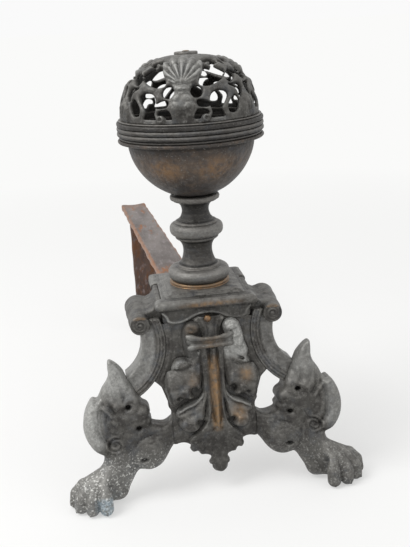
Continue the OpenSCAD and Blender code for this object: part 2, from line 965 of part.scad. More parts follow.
// Scooped lines that follow the horn, the shoulder and the pad.
module leg_lines() {
    intersection() {
        for (r = [27, 34, 41]) ring(horn_x + 15, horn_z + 12, r);
        polygon([[72, 150], [horn_x + 15, horn_z + 12], [112, 84], [84, 84]]);
    }
    intersection() {
        for (r = [12, 20]) ring(shoulder_x, shoulder_z, r);
        polygon([[shoulder_x, shoulder_z], [112, 100], [140, 96], [140, 30], [90, 34]]);
    }
    ring(lobe_x, lobe_z, lobe_r - 4.5);
}

module leg_plate() {
    bulge_r = 120;
    bulge_at = [98, front_y - 8 + bulge_r, 70];
    difference() {
        intersection() {
            plate(front_y - 12, front_y + leg_t) leg_outline();
            translate(bulge_at) sphere(bulge_r);
        }
        difference() {
            plate(front_y - 12, front_y) leg_lines();
            translate(bulge_at) sphere(bulge_r - groove_deep);
        }
        // Drilled eyes
        for (e = [[87, 95], [72, 76], [73, 45]])
            translate([e[0], front_y + 2, e[1]])
                rotate([90, 0, 0]) cylinder(h = 30, r = 2.6);
    }
    // Tab behind the panel, for the screw
    difference() {
        translate([joint_x - tab_len, panel_back, screw_z - 6])
            cube([tab_len + 8, tab_t, 12]);
        translate([screw_x, panel_back + tab_t + eps, screw_z])
            rotate([90, 0, 0]) cylinder(h = tab_t + 2 * eps, r = screw_r + 0.3);
    }
}

module toe(turn) {
    way = [cos(turn), sin(turn), 0];
    limb(way * toe_reach + [0, 0, toe_z], way * knuckle_reach + [0, 0, knuckle_z],
         toe_r, toe_r + 0.5);
}

module paw() {
    ankle = [-29, 10, 42];
    instep = [-11, 5, 22];
    difference() {
        translate([paw_x, paw_y, 0]) {
            for (turn = paw_turn) toe(turn);
            limb(ankle, [-11, 5, 22], 14, 12);
            limb([-11, 5, 22], [1, -1, 20], 12, 14);
            limb([-14, 7, 8.4], ankle, 9, 12);
        }
        translate([-300, -300, -60]) cube([600, 600, 60]);
    }
}

module leg(side) {
    color("#504e4a")
        mirrored(side) {
            leaning() leg_plate();
            at_stem() paw();
        }
}

module leg_left() leg(-1);
module leg_right() leg(1);

module leg_screws() {
    head_h = 2.4;
    color("#5a4436")
        leaning()
            for (s = [-1, 1])
                translate([s * screw_x, panel_back + tab_t, screw_z])
                    rotate([-90, 0, 0]) {
                        cylinder(h = head_h, r1 = screw_r * 2, r2 = screw_r * 1.4);
                        translate([0, 0, -tab_t - panel_t + 5])
                            cylinder(h = tab_t + panel_t - 4, r = screw_r - 0.1);
                    }
}

// ---- Iron -----------------------------------------------------------------------------

module along_bar() at_stem() rotate([0, 0, bar_turn]) translate([-bar_hole_off, 0, 0]) children();

module billet_bar() {
    end_hollow = 60;
    color("#7b7174")
        along_bar()
            difference() {
                translate([-bar_w / 2, -bar_front, bar_under])
                    cube([bar_w, bar_len + bar_front, bar_t]);
                // Far end, slightly hollow from the cutting
                translate([3, bar_len + end_hollow - 2, bar_under - eps])
                    cylinder(h = bar_t + 2 * eps, r = end_hollow);
                translate([bar_hole_off, 0, bar_under - eps])
                    cylinder(h = bar_t + 2 * eps, r = bore_r);
                translate([-tenon_w / 2, rear_y - tenon_t / 2, bar_under - eps])
                    cube([tenon_w, tenon_t, bar_t + 2 * eps]);
            }
}

module rear_leg() {
    color("#4a3530")
        along_bar()
            translate([0, rear_y, 0]) {
                rotate([90, 0, 90])
                    translate([0, 0, -rear_w / 2])
                        linear_extrude(rear_w)
                            polygon([[-rear_t / 2, bar_under], [rear_t / 2, bar_under],
                                     [rear_t / 2, foot_h], [foot_t / 2, 0],
                                     [-foot_t / 2, 0], [-rear_t / 2, foot_h]]);
                translate([-tenon_w / 2 + joint_gap, -tenon_t / 2 + joint_gap, bar_under - eps])
                    cube([tenon_w - 2 * joint_gap, tenon_t - 2 * joint_gap, bar_t + eps]);
            }
}

lid_dome();
lid_belt();
crown_plate();
crown_rivet();
bowl();
bowl_collar();
stem_upper();
stem_lower();
stem_base();
base_ring();
tie_rod();
rod_nuts();
rod_washers();
plinth();
console_left();
console_right();
center_panel();
leaf_upper();
leaf_lower();
leaf_midrib();
leaf_clasp();
leaf_bead();
leg_left();
leg_right();
leg_screws();
billet_bar();
rear_leg();
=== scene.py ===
# %% [markdown]
# # An andiron, dressed for its portrait
# The CAD model gives the construction: which piece is which, how big it is and where it
# sits. This lesson loads that model as a fixed frame and puts the looks on it: the
# pierced dome, the carved leaf, the lion-paw legs and the dull, worn metals.

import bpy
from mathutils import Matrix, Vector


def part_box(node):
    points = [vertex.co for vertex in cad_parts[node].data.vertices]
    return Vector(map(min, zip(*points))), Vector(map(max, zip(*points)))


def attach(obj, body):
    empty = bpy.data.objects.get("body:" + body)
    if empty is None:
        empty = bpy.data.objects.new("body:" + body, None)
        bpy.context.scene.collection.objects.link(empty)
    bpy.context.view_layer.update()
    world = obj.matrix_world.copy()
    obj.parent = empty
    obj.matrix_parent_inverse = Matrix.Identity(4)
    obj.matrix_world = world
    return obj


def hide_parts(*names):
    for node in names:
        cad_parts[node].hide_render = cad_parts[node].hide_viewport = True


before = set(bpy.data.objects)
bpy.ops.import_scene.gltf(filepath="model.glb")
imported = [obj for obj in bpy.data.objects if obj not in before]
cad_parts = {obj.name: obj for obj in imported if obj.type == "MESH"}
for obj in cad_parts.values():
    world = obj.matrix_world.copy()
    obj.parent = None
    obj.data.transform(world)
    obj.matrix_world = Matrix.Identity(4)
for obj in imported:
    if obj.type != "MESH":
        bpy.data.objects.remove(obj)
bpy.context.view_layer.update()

# %% [markdown]
# Everything below is drawn in millimetres, with x and y measured from the axis of the
# baluster, because that is how a workshop drawing would give it. One function takes
# those numbers to metres in the frame. Another tips the front castings forward: panel,
# leaf, arms and legs all lie in one plane that leans about the plinth's lower front edge.

# %% Workshop coordinates
import math

import bpy
import numpy as np

rod_low, rod_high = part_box("tie_rod")
STEM_Y = (rod_low[1] + rod_high[1]) / 2
FRONT_Y = -46.0
HINGE_Z = 173.0
LEAN = math.radians(8)


def to_frame(points):
    """Millimetres from the baluster's axis to metres in the frame."""
    moved = np.asarray(points, float) * 0.001
    moved[:, 1] += STEM_Y
    return moved


def tipped(points):
    """Leans points drawn upright about the plinth's lower front edge."""
    p = np.array(points, float)
    y, z = p[:, 1] - FRONT_Y, p[:, 2] - HINGE_Z
    p[:, 1] = FRONT_Y + y * math.cos(LEAN) + z * math.sin(LEAN)
    p[:, 2] = HINGE_Z - y * math.sin(LEAN) + z * math.cos(LEAN)
    return p


print("baluster stands at y =", round(STEM_Y, 4))

# %% [markdown]
# ## Camera
# The picture is taken from a little to the left and looks down by about eighteen degrees.
# A camera can be set by eye, but here its place and turn were fitted: the round rings of
# the baluster, the plinth's corners and the feet give points whose real places are known.
# Its lens is the focal length in pixels, times the width of the sensor, over the width of
# the picture.

# %% Camera
from mathutils import Matrix, Vector

PICTURE_WIDTH = 410.0
FOCAL_PIXELS = 802.654
SENSOR_WIDTH = 36.0
EYE = (-0.087118, STEM_Y - 0.772382, 0.457646)

camera_data = bpy.data.cameras.new("camera")
camera_data.sensor_fit = "HORIZONTAL"
camera_data.sensor_width = SENSOR_WIDTH
camera_data.lens = FOCAL_PIXELS * SENSOR_WIDTH / PICTURE_WIDTH
camera = bpy.data.objects.new("camera", camera_data)
bpy.context.collection.objects.link(camera)
right = Vector((0.98899185, -0.13710663, -0.05564969))
up = Vector((0.09444842, 0.29541348, 0.95068942))
away = Vector((0.11390615, 0.94548011, -0.30511103))
turn = Matrix((right, up, -away)).transposed().to_4x4()
camera.matrix_world = Matrix.Translation(EYE) @ turn
bpy.context.scene.camera = camera
print("lens", round(camera_data.lens, 2), "mm")

# %% [markdown]
# ## Clay
# Cast ornament has no straight edges: every form runs into the next with a soft fillet.
# Booleans between meshes would leave sharp seams, and strokes of a sculpting brush can't
# be written down. A distance field can: a block of numbers that says how far each point
# of space lies from the surface, below zero inside. Forms are added and cut away with a
# blend, and at the end a skin is pulled over the places where the field is zero. The
# class below is that block of clay.

# %% Clay


def blended(a, b, blend):
    """Smallest of two distances, with a fillet of the given size between them."""
    if not blend:
        return np.minimum(a, b)
    mix = np.clip(0.5 + 0.5 * (b - a) / blend, 0, 1)
    return b + (a - b) * mix - blend * mix * (1 - mix)


class Clay:
    EMPTY = 15.0  # distance in mm where nothing is yet

    def __init__(self, low, high, step):
        self.low = np.array(low, float)
        self.step = step
        cells = np.ceil((np.array(high, float) - self.low) / step).astype(int) + 1
        self.field = np.full(cells, self.EMPTY, np.float32)

    def window(self, low, high, margin):
        """The part of the block near a form, and its x, y and z."""
        first = np.floor((np.array(low) - margin - self.low) / self.step).astype(int)
        last = np.ceil((np.array(high) + margin - self.low) / self.step).astype(int) + 1
        first = np.clip(first, 0, self.field.shape)
        last = np.clip(last, 0, self.field.shape)
        part = tuple(slice(a, b) for a, b in zip(first, last))
        axes = [self.low[i] + self.step * np.arange(first[i], last[i]) for i in range(3)]
        return part, np.meshgrid(*axes, indexing="ij", sparse=True)

    def grid(self):
        """x, y and z of all points of the block."""
        axes = [first + self.step * np.arange(count)
                for first, count in zip(self.low, self.field.shape)]
        return np.meshgrid(*axes, indexing="ij", sparse=True)

    def add(self, form, blend=0.0):
        part, (x, y, z) = self.window(form[1], form[2], blend + 2 * self.step)
        here = self.field[part]
        if here.size:
            self.field[part] = blended(here, form[0](x, y, z), blend)

    def cut(self, form, blend=0.0):
        part, (x, y, z) = self.window(form[1], form[2], blend + 2 * self.step)
        here = self.field[part]
        if here.size:
            self.field[part] = -blended(-here, form[0](x, y, z), blend)


print("clay ready")

# %% [markdown]
# Dust lies on edges and soot stays in hollows, so the finish has to know where these are.
# A renderer's pointiness would do, but only in the render. Here the field is averaged
# over a small cube: the mean is above zero on edges, where most of the cube is air, and
# below zero in hollows. The meshes carry these numbers with them.

# %% Edges and hollows


def softness(clay, reach):
    """Mean of the field over a small cube round each point."""
    mean = clay.field.astype(float)
    width = max(1, int(round(reach / clay.step)))
    for axis in range(3):
        padded = np.pad(mean, [(width + 1, width) if i == axis else (0, 0)
                               for i in range(3)], mode="edge")
        total = np.cumsum(padded, axis=axis)
        ends = [slice(None)] * 3
        starts = [slice(None)] * 3
        ends[axis] = slice(2 * width + 1, None)
        starts[axis] = slice(None, -(2 * width + 1))
        mean = (total[tuple(ends)] - total[tuple(starts)]) / (2 * width + 1)
    return mean


def at_points(clay, block, points):
    """Value of another block of the same size at the points, by nearest cell."""
    cell = np.rint((points - clay.low) / clay.step).astype(int)
    cell = np.clip(cell, 0, np.array(block.shape) - 1)
    return block[tuple(cell.T)]


print("edges and hollows ready")

# %% [markdown]
# ## Skin
# The skin is pulled by surface nets. Each small cell of the block that the surface passes
# through gets one corner, at the mean of the places where the surface crosses the cell's
# edges. Each line of the grid that the surface crosses gets one square, between the four
# cells round it. This gives even squares with softer edges than marching cubes.

# %% Corners of the skin


def skin_corners(clay, inside):
    """One corner in each cell that the surface crosses, and a table of their numbers."""
    size = np.array(inside.shape) - 1
    count = np.zeros(size, np.int8)
    for i, j, k in np.ndindex(2, 2, 2):
        count += inside[i:size[0] + i, j:size[1] + j, k:size[2] + k]
    mixed = (count > 0) & (count < 8)
    cells = np.argwhere(mixed)
    index = np.full(size, -1)
    index[mixed] = np.arange(len(cells))
    total = np.zeros((len(cells), 3))
    hits = np.zeros(len(cells))
    for axis in range(3):
        along = np.eye(3, dtype=int)[axis]
        for i, j in np.ndindex(2, 2):
            start = np.insert([i, j], axis, 0)
            a = clay.field[tuple((cells + start).T)]
            b = clay.field[tuple((cells + start + along).T)]
            crossed = (a < 0) != (b < 0)
            share = a[crossed] / (a[crossed] - b[crossed])
            total[crossed] += cells[crossed] + start + share[:, None] * along
            hits[crossed] += 1
    return total / hits[:, None] * clay.step + clay.low, index


print("corners ready")

# %% Squares of the skin


def skin_squares(inside, index):
    """A square, facing outward, round each grid line that the surface crosses."""
    squares = []
    for axis in range(3):
        one, two = (np.eye(3, dtype=int)[(axis + i) % 3] for i in (1, 2))
        near = [slice(None)] * 3
        far = [slice(None)] * 3
        near[axis], far[axis] = slice(None, -1), slice(1, None)
        a, b = inside[tuple(near)], inside[tuple(far)]
        edges = np.argwhere(a != b)
        whole = ((edges - one - two) >= 0).all(1) & (edges < index.shape).all(1)
        edges = edges[whole]
        outward = a[tuple(edges.T)]
        ring = np.stack([index[tuple((edges - back).T)]
                         for back in (one + two, two, 0 * one, one)], 1)
        ring[~outward] = ring[~outward][:, ::-1]
        squares.append(ring)
    return np.concatenate(squares)


print("squares ready")

# %% [markdown]
# ## Forms to build with
# A few simple bodies are enough: a limb that tapers between two round ends, a strand of
# limbs along a curve, a ball that can be squashed, and a plate cut from a drawn outline.
# Each gives its distance function and the box that it lies in.

# %% Forms


def limb(p, q, a, b):
    """Tapered limb from p with radius a to q with radius b."""
    p, q = np.array(p, float), np.array(q, float)
    run = q - p
    length = max(float(run @ run), 1e-6)

    def distance(x, y, z):
        t = ((x - p[0]) * run[0] + (y - p[1]) * run[1] + (z - p[2]) * run[2]) / length
        t = np.clip(t, 0, 1)
        gap = ((x - p[0] - t * run[0]) ** 2 + (y - p[1] - t * run[1]) ** 2
               + (z - p[2] - t * run[2]) ** 2)
        return np.sqrt(gap) - (a + (b - a) * t)

    widest = max(a, b)
    return distance, np.minimum(p, q) - widest, np.maximum(p, q) + widest


def ball(centre, radii):
    """Ball squashed to three radii."""
    c, r = np.array(centre, float), np.array(radii, float) * np.ones(3)

    def distance(x, y, z):
        near = np.sqrt(((x - c[0]) / r[0]) ** 2 + ((y - c[1]) / r[1]) ** 2
                       + ((z - c[2]) / r[2]) ** 2)
        return (near - 1) * r.min()

    return distance, c - r, c + r


def smooth_line(points, closed=False, parts=6):
    """Points on a Catmull-Rom curve through the given ones."""
    p = np.array(points, float)
    count = len(p)
    line = []
    for i in range(count if closed else count - 1):
        if closed:
            a, b, c, d = (p[(i + k) % count] for k in (-1, 0, 1, 2))
        else:
            a, b, c, d = p[max(i - 1, 0)], p[i], p[i + 1], p[min(i + 2, count - 1)]
        for k in range(parts):
            t = k / parts
            line.append(0.5 * (2 * b + (c - a) * t + (2 * a - 5 * b + 4 * c - d) * t ** 2
                               + (3 * b - a - 3 * c + d) * t ** 3))
    if not closed:
        line.append(p[-1])
    return np.array(line)


def strand(clay, points, blend):
    """Limbs along a smooth curve of x, y, z and radius."""
    line = smooth_line(points, parts=4)
    for a, b in zip(line[:-1], line[1:]):
        clay.add(limb(a[:3], b[:3], a[3], b[3]), blend)


def outline_distance(px, pz, outline, stretch=1.0):
    """Distance in a plane to a closed outline, below zero inside it."""
    best = np.full(px.shape, 1e9)
    inside = np.zeros(px.shape, bool)
    for a, b in zip(outline, np.roll(outline, -1, axis=0)):
        run_x, run_z = (b[0] - a[0]) * stretch, b[1] - a[1]
        off_x, off_z = (px - a[0]) * stretch, pz - a[1]
        t = np.clip((off_x * run_x + off_z * run_z)
                    / np.maximum(run_x ** 2 + run_z ** 2, 1e-9), 0, 1)
        best = np.minimum(best, (off_x - t * run_x) ** 2 + (off_z - t * run_z) ** 2)
        if a[1] != b[1]:
            crosses = (a[1] > pz) != (b[1] > pz)
            reach = a[0] + (pz - a[1]) / (b[1] - a[1]) * (b[0] - a[0])
            inside ^= crosses & (px < reach)
    return np.where(inside, -1, 1) * np.sqrt(best)


print("forms ready")

# %% [markdown]
# Heights and marks are drawn with four small curves: a ramp between two places, a bell
# round a line, a spot round a point, and a quarter circle that rounds an edge off. Drawn
# maps are read between their points, so that their grid doesn't show in the casting.

# %% Curves and maps


def ramp(value, start, end):
    """0 at the start, 1 at the end, straight between them and level beyond."""
    return np.clip((value - start) / (end - start), 0, 1)


def bell(value, middle, half):
    return np.exp(-((value - middle) / half) ** 2)


def spot(x, z, middle, spread):
    return np.exp(-((x - middle[0]) ** 2 + (z - middle[1]) ** 2) / spread)


def rounded_off(share):
    return np.sqrt(np.clip(1 - (1 - share) ** 2, 0, 1))


def between(table, i, j):
    """Reads a table between its points, at row i and column j."""
    i = np.clip(i, 0, table.shape[0] - 1.001)
    j = np.clip(j, 0, table.shape[1] - 1.001)
    a, b = i.astype(int), j.astype(int)
    p, q = i - a, j - b
    return ((table[a, b] * (1 - p) + table[a + 1, b] * p) * (1 - q)
            + (table[a, b + 1] * (1 - p) + table[a + 1, b + 1] * p) * q)


print("a ramp from 2 to 6 gives", float(ramp(5.0, 2, 6)), "at 5")

# %% [markdown]
# ## Finishes
# The castings are brass or bronze that has stood by a fire for a very long time. The
# surface is a dark grey-brown oxide, dusty on edges and on whatever faces up, nearly
# black in the hollows and rubbed back to the copper-coloured metal where hands and
# cloths reach. A painter would lay this down in coats, and so do these materials: each
# coat has a colour, a grain in millimetres, and a mark that says where it lies. The
# marks are numbers stored on the corners of the sculpted meshes.

# %% Colours and nodes


def linear(code):
    """sRGB hex colour to the linear colour that the shaders use."""
    parts = [int(code[i:i + 2], 16) / 255 for i in (1, 3, 5)]
    return tuple(c / 12.92 if c <= 0.04045 else ((c + 0.055) / 1.055) ** 2.4
                 for c in parts) + (1.0,)


def add_node(tree, kind, settings=None, links=None):
    """Adds a node, gives it its settings and joins its inputs to other outputs."""
    made = tree.nodes.new(kind)
    for name, value in (settings or {}).items():
        if isinstance(name, str) and name not in made.inputs:
            setattr(made, name, value)
        else:
            made.inputs[name].default_value = value
    for name, source in (links or {}).items():
        tree.links.new(getattr(source, "outputs", [source])[0], made.inputs[name])
    return made


def new_finish(name):
    finish = bpy.data.materials.new(name)
    finish.use_nodes = True
    finish.node_tree.nodes.clear()
    return finish, finish.node_tree


print("white in linear numbers:", linear("#ffffff"))

# %% Coats


def coated(tree, place, ground, coats):
    """Coats of colour over a ground: colour, mark, grain in mm, cloud range and share."""
    normal = add_node(tree, "ShaderNodeNewGeometry").outputs["Normal"]
    up = add_node(tree, "ShaderNodeSeparateXYZ", {}, {0: normal}).outputs["Z"]
    marks = {"facing up": add_node(tree, "ShaderNodeMapRange", {
        "From Min": 0.1, "From Max": 0.95}, {"Value": up})}
    colour, shares = linear(ground), []
    for over, mark, grain, start, end, most in coats:
        cloud = add_node(tree, "ShaderNodeTexNoise", {
            "Scale": 1000.0 / grain, "Detail": 5.0, "Roughness": 0.62}, {"Vector": place})
        share = add_node(tree, "ShaderNodeMapRange", {
            "interpolation_type": "SMOOTHSTEP", "From Min": start, "From Max": end,
            "To Max": most}, {"Value": cloud})
        if mark:
            if mark not in marks:
                marks[mark] = add_node(tree, "ShaderNodeAttribute", {
                    "attribute_name": mark}).outputs["Fac"]
            share = add_node(tree, "ShaderNodeMath", {"operation": "MULTIPLY"},
                             {0: share, 1: marks[mark]})
        settings, links = {"data_type": "RGBA", 7: linear(over)}, {0: share}
        (settings if isinstance(colour, tuple) else links)[6] = colour
        colour = add_node(tree, "ShaderNodeMix", settings, links).outputs[2]
        shares.append(share)
    return colour, shares


print("coats ready")

# %% Skins and grain


def stretched(tree, grain):
    """Place on the object; a factor below one draws the patterns out along its axis."""
    where = add_node(tree, "ShaderNodeTexCoord").outputs["Object"]
    return add_node(tree, "ShaderNodeVectorMath", {"operation": "MULTIPLY", 1: grain},
                    {0: where})


def uneven(tree, place, layers):
    """Bumps laid over each other: size in mm, detail, strength and height in mm."""
    links = {}
    for size, detail, strength, height in layers:
        links["Height"] = add_node(tree, "ShaderNodeTexNoise", {
            "Scale": 1000 / size, "Detail": detail}, {"Vector": place})
        links["Normal"] = add_node(tree, "ShaderNodeBump", {
            "Strength": strength, "Distance": height / 1000}, links)
    return links["Normal"]


print("skins ready")

# %% [markdown]
# ### Patinated bronze
# Cast, chased by hand and oxidised. The oxide is dull and only half metallic; where it is
# rubbed away the metal shows copper-brown and is smoother. Casting skin has a grit of
# about half a millimetre, drawn here at 1.3 mm so that it shows in the picture; the
# clouds of patina are some 20 mm wide. The default IOR stays, as for any metal.

# %% Patinated bronze
RUBBED = 9  # place of the coat of rubbed metal in the list of coats


def bronze(name, ground, middle, dust, dark, copper, worn=0.0, grain=(1, 1, 1)):
    finish, tree = new_finish(name)
    place = stretched(tree, grain)
    colour, shares = coated(tree, place, ground, (
        (middle, "", 22, 0.34, 0.66, 1.0),
        ("#4a4e54", "", 15, 0.5, 0.68, 0.55),
        (dust, "", 4.5, 0.45, 0.72, 0.35),
        (dust, "facing up", 8, 0.3, 0.62, 0.55),
        (dust, "edge", 1.8, 0.2, 0.7, 0.62),
        # Soot, and painted shade where the marks put it: in grooves and creases and under
        # overhangs.
        (dark, "soot_and_shade", 26, 0.0, 0.1, 0.75),
        (dark, "hollow", 6, 0.0, 0.15, 0.95),
        ("#aaa8a3", "", 1.9, 0.58, 0.72, 0.3),
        (copper, "", 11, 0.52, 0.7, worn),
        (copper, "wear", 5, 0.22, 0.66, 0.9),
        # Chalky dust, and painted highlights on the crests of lobes, on the shells and on the
        # tops of swellings.
        ("#9a9a97", "chalk_and_highlight", 9, 0.1, 0.55, 0.85),
        ("#bcbcb8", "chalk_and_highlight", 3.0, 0.4, 0.8, 0.7),
        ("#e0e0db", "lime", 2.2, 0.54, 0.64, 0.9),
        ("#8d9ba4", "frost", 3.4, 0.3, 0.6, 0.85),
        ("#c3ccd0", "frost", 1.7, 0.52, 0.62, 0.85)))
    skin = uneven(tree, place, ((1.3, 3.0, 0.5, 0.6), (5.0, 4.0, 0.55, 1.4)))
    rough = add_node(tree, "ShaderNodeMapRange", {"To Min": 0.52, "To Max": 0.34},
                     {"Value": shares[RUBBED]})
    metal = add_node(tree, "ShaderNodeMapRange", {"To Min": 0.45, "To Max": 0.9},
                     {"Value": shares[RUBBED]})
    body = add_node(tree, "ShaderNodeBsdfPrincipled", {}, {
        "Base Color": colour, "Roughness": rough, "Normal": skin, "Metallic": metal})
    add_node(tree, "ShaderNodeOutputMaterial", {}, {"Surface": body})
    return finish


patinated_bronze = bronze("patinated_cast_bronze", "#383532", "#54524e", "#8f8d88",
                          "#161412", "#937553")
turned_bronze = bronze("patinated_turned_bronze", "#383532", "#524f4b", "#8a8782",
                       "#161412", "#7f6548", 0.0, (1, 1, 2.0))
copper_worn_bronze = bronze("rubbed_copper_bronze", "#4b3f35", "#655546", "#8a7c69",
                            "#241b15", "#94704a", 0.6)
sooty_bronze = bronze("heat_browned_bronze", "#363230", "#4b4541", "#77716b",
                      "#191613", "#8a6a48", 0.12)
print("four bronzes ready")

# %% [markdown]
# ### Wrought iron
# The bar behind is forged flat and left to rust. Its top has a thin grey-purple scale;
# orange rust breaks through at the edges, and the leg is darker and redder. Forge scale
# flakes off in patches of a centimetre or two, and rust has a grain below a millimetre,
# drawn at 1.6 mm so that it shows.

# %% Wrought iron
RUST = 2  # place of the first coat of rust in the list of coats


def iron(name, scale, dark, rust, rust_from, grain):
    finish, tree = new_finish(name)
    place = stretched(tree, grain)
    colour, shares = coated(tree, place, scale, (
        (dark, "", 30, 0.36, 0.64, 1.0),
        ("#9a9092", "", 5, 0.5, 0.72, 0.5),
        (rust, "", 13, rust_from, rust_from + 0.13, 0.95),
        (rust, "wear", 4, 0.3, 0.55, 0.95),
        ("#8f837b", "edge", 3, 0.3, 0.6, 0.7),
        ("#2c211d", "hollow", 5, 0.2, 0.5, 0.8)))
    skin = uneven(tree, place, ((1.6, 4.0, 0.65, 0.8), (14, 6.0, 0.6, 1.8)))
    rough = add_node(tree, "ShaderNodeMapRange", {"To Min": 0.5, "To Max": 0.85},
                     {"Value": shares[RUST]})
    body = add_node(tree, "ShaderNodeBsdfPrincipled", {"Metallic": 0.3}, {
        "Base Color": colour, "Normal": skin, "Roughness": rough})
    add_node(tree, "ShaderNodeOutputMaterial", {}, {"Surface": body})
    return finish


scaled_iron = iron("scaled_wrought_iron", "#79716d", "#5a524e", "#96694a", 0.56,
                   (1, 0.25, 1))
rusted_iron = iron("rusted_wrought_iron", "#4f423d", "#382d2a", "#66452f", 0.5,
                   (1, 1, 0.5))
print("two irons ready")

# %% [markdown]
# ## Turning clay into pieces
# The next function ends each sculpture the same way: skin, stored numbers, material, the
# body it rides on, its material slot and its name; the CAD node it stands for is hidden.

# %% Pieces
MARKS = ("edge", "hollow", "wear", "chalk_and_highlight", "soot_and_shade", "lime", "frost")


def finish_piece(name, body, nodes, finish, points, faces, marks):
    """Mesh with its marks and material, and what the frame has to know of it."""
    mesh = bpy.data.meshes.new(name)
    mesh.from_pydata(to_frame(points).tolist(), [], np.asarray(faces).tolist())
    for mark in MARKS:
        layer = mesh.attributes.new(mark, "FLOAT", "POINT")
        values = np.clip(marks.get(mark, 0) + np.zeros(len(points)), 0, 1)
        layer.data.foreach_set("value", values.astype(np.float32))
    mesh.polygons.foreach_set("use_smooth", np.ones(len(mesh.polygons), bool))
    mesh.update()
    mesh.validate()
    piece = bpy.data.objects.new(name, mesh)
    bpy.context.collection.objects.link(piece)
    mesh.materials.append(finish)
    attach(piece, body)
    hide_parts(*nodes)
    print(name, len(points), "corners")


def relaxed(points, faces, rounds):
    """Evens out the small steps that the grid leaves in a skin."""
    pairs = np.concatenate([faces[:, [i, (i + 1) % 4]] for i in range(4)])
    for _ in range(rounds):
        total = np.zeros_like(points)
        count = np.zeros(len(points))
        for a, b in ((0, 1), (1, 0)):
            for axis in range(3):
                total[:, axis] += np.bincount(pairs[:, a], points[pairs[:, b], axis],
                                              len(points))
            count += np.bincount(pairs[:, a], minlength=len(points))
        points = points + 0.5 * (total / count[:, None] - points)
    return points


def cast(clay, reach=2.2, sharp=1.0, deep=0.7, rounds=3):
    """Skin of the clay, with its marks for edges and hollows."""
    inside = clay.field < 0
    points, index = skin_corners(clay, inside)
    faces = skin_squares(inside, index)
    soft = at_points(clay, softness(clay, reach), points)
    points = relaxed(points, faces, rounds)
    return points, faces, {"edge": soft / sharp - 0.4, "hollow": -soft / deep - 0.3}


def on_side(side, points, faces):
    """Right-hand piece for side 1; its mirror image, still facing outward, for -1."""
    return points * (side, 1, 1), faces if side > 0 else faces[:, ::-1]


print("pieces ready")

# %% [markdown]
# ## The pierced dome
# The top of the ball is one openwork casting: three scallop shells on leafy stands,
# scrolls between them, three small palmettes at the rim, and daylight everywhere else.
# Curves with a bevel would make wires, not a pierced sheet, so the dome is drawn as a map
# and cut through. It repeats every 120 degrees and each third is mirrored, so only one
# sixth is drawn: the outlines of the holes, in degrees round the dome and degrees of
# rise. Their distances also round the strands between them, as a founder's wax would be.

# %% Holes of the dome
DOME_R = 56.0  # radius of the dome's curve
DOME_OUT = 12.5  # distance of that curve's middle from the axis
DOME_Z = 368.332  # foot of the dome
DOME_TURN = -11.5  # degrees from straight ahead to the front shell
MAP_STEP = 0.4  # degrees between the points of the map
FILED = 0.75  # each hole is opened this much beyond its drawing

around, rise = np.meshgrid(np.arange(0, 60.01, MAP_STEP), np.arange(0, 90.01, MAP_STEP),
                           indexing="ij")
MM_PER_RISE = DOME_R * math.pi / 180
girth = (DOME_OUT + DOME_R * np.cos(np.radians(rise))) * math.pi / 180
squeeze = girth / MM_PER_RISE


def oval(middle, radii):
    return [(middle[0] + radii[0] * math.cos(a), middle[1] + radii[1] * math.sin(a))
            for a in np.linspace(0, 2 * math.pi, 10, endpoint=False)]


holes = [
    oval((12, 30), (4.5, 5.5)),
    [(16, 38), (23, 35), (32, 38), (42, 43), (44, 46), (36, 52), (27, 57), (22, 50)],
    [(35, 55), (39, 61), (46, 54), (49.5, 49), (45, 47.5), (40, 50.5)],
    [(28, 65.5), (41, 70), (51, 63.5), (41, 61)],
    [(57.5, 51), (58.5, 44.5), (48.5, 37), (44, 39.5), (46.5, 44)],
    [(44, 34), (56, 33), (57, 26), (52, 21), (51, 27), (48, 31.5)],
    [(24, 24), (29, 28.5), (37, 28), (38.5, 24), (34, 17), (31.5, 12), (33, 3), (23, 3),
     (24, 9), (23, 16)],
    [(12.5, 21), (17, 21), (22, 18), (20, 15.5), (13, 16.5)],
    [(9.5, 2.5), (10, 9), (13, 13), (18.5, 12), (20, 9), (16.5, 9), (13.5, 6), (13, 2.5)],
    [(39, 8.5), (38.5, 14), (42, 19), (46.5, 22.5), (49.5, 19), (47.5, 12), (44.5, 8)],
    oval((60, 61.5), (4.6, 3.6)),
]
to_hole = np.full(around.shape, 60.0)
for hole in holes:
    ring = smooth_line(hole, closed=True, parts=5)
    to_hole = np.minimum(to_hole, outline_distance(around, rise, ring, squeeze))
to_hole = to_hole * MM_PER_RISE - FILED
print(len(holes), "holes in a sixth, open share",
      round(float((to_hole < 0).mean()), 3))

# %% [markdown]
# The relief is a height over the dome. Strands swell in the middle. The shell is a fan of
# ribs that spread from its foot, in two tiers, and it ends in a scalloped rim. A waisted
# stand, a leafy mass and the palmettes are soft swellings.

# %% Relief of the dome


def swelling(centre, radii, height):
    """Soft round hill on the dome, in degrees round and degrees of rise."""
    far = np.hypot((around - centre[0]) * girth / radii[0],
                   (rise - centre[1]) * MM_PER_RISE / radii[1])
    return height * np.sqrt(np.clip(1 - far ** 2, 0, 1))


def curl(centre, radius, height):
    """Round scroll end with a dimple in its middle."""
    far = np.hypot((around - centre[0]) * girth, (rise - centre[1]) * MM_PER_RISE)
    ring = bell(far, radius * 0.62, radius * 0.3)
    return height * ring - 0.6 * height * bell(far, 0, radius * 0.28)


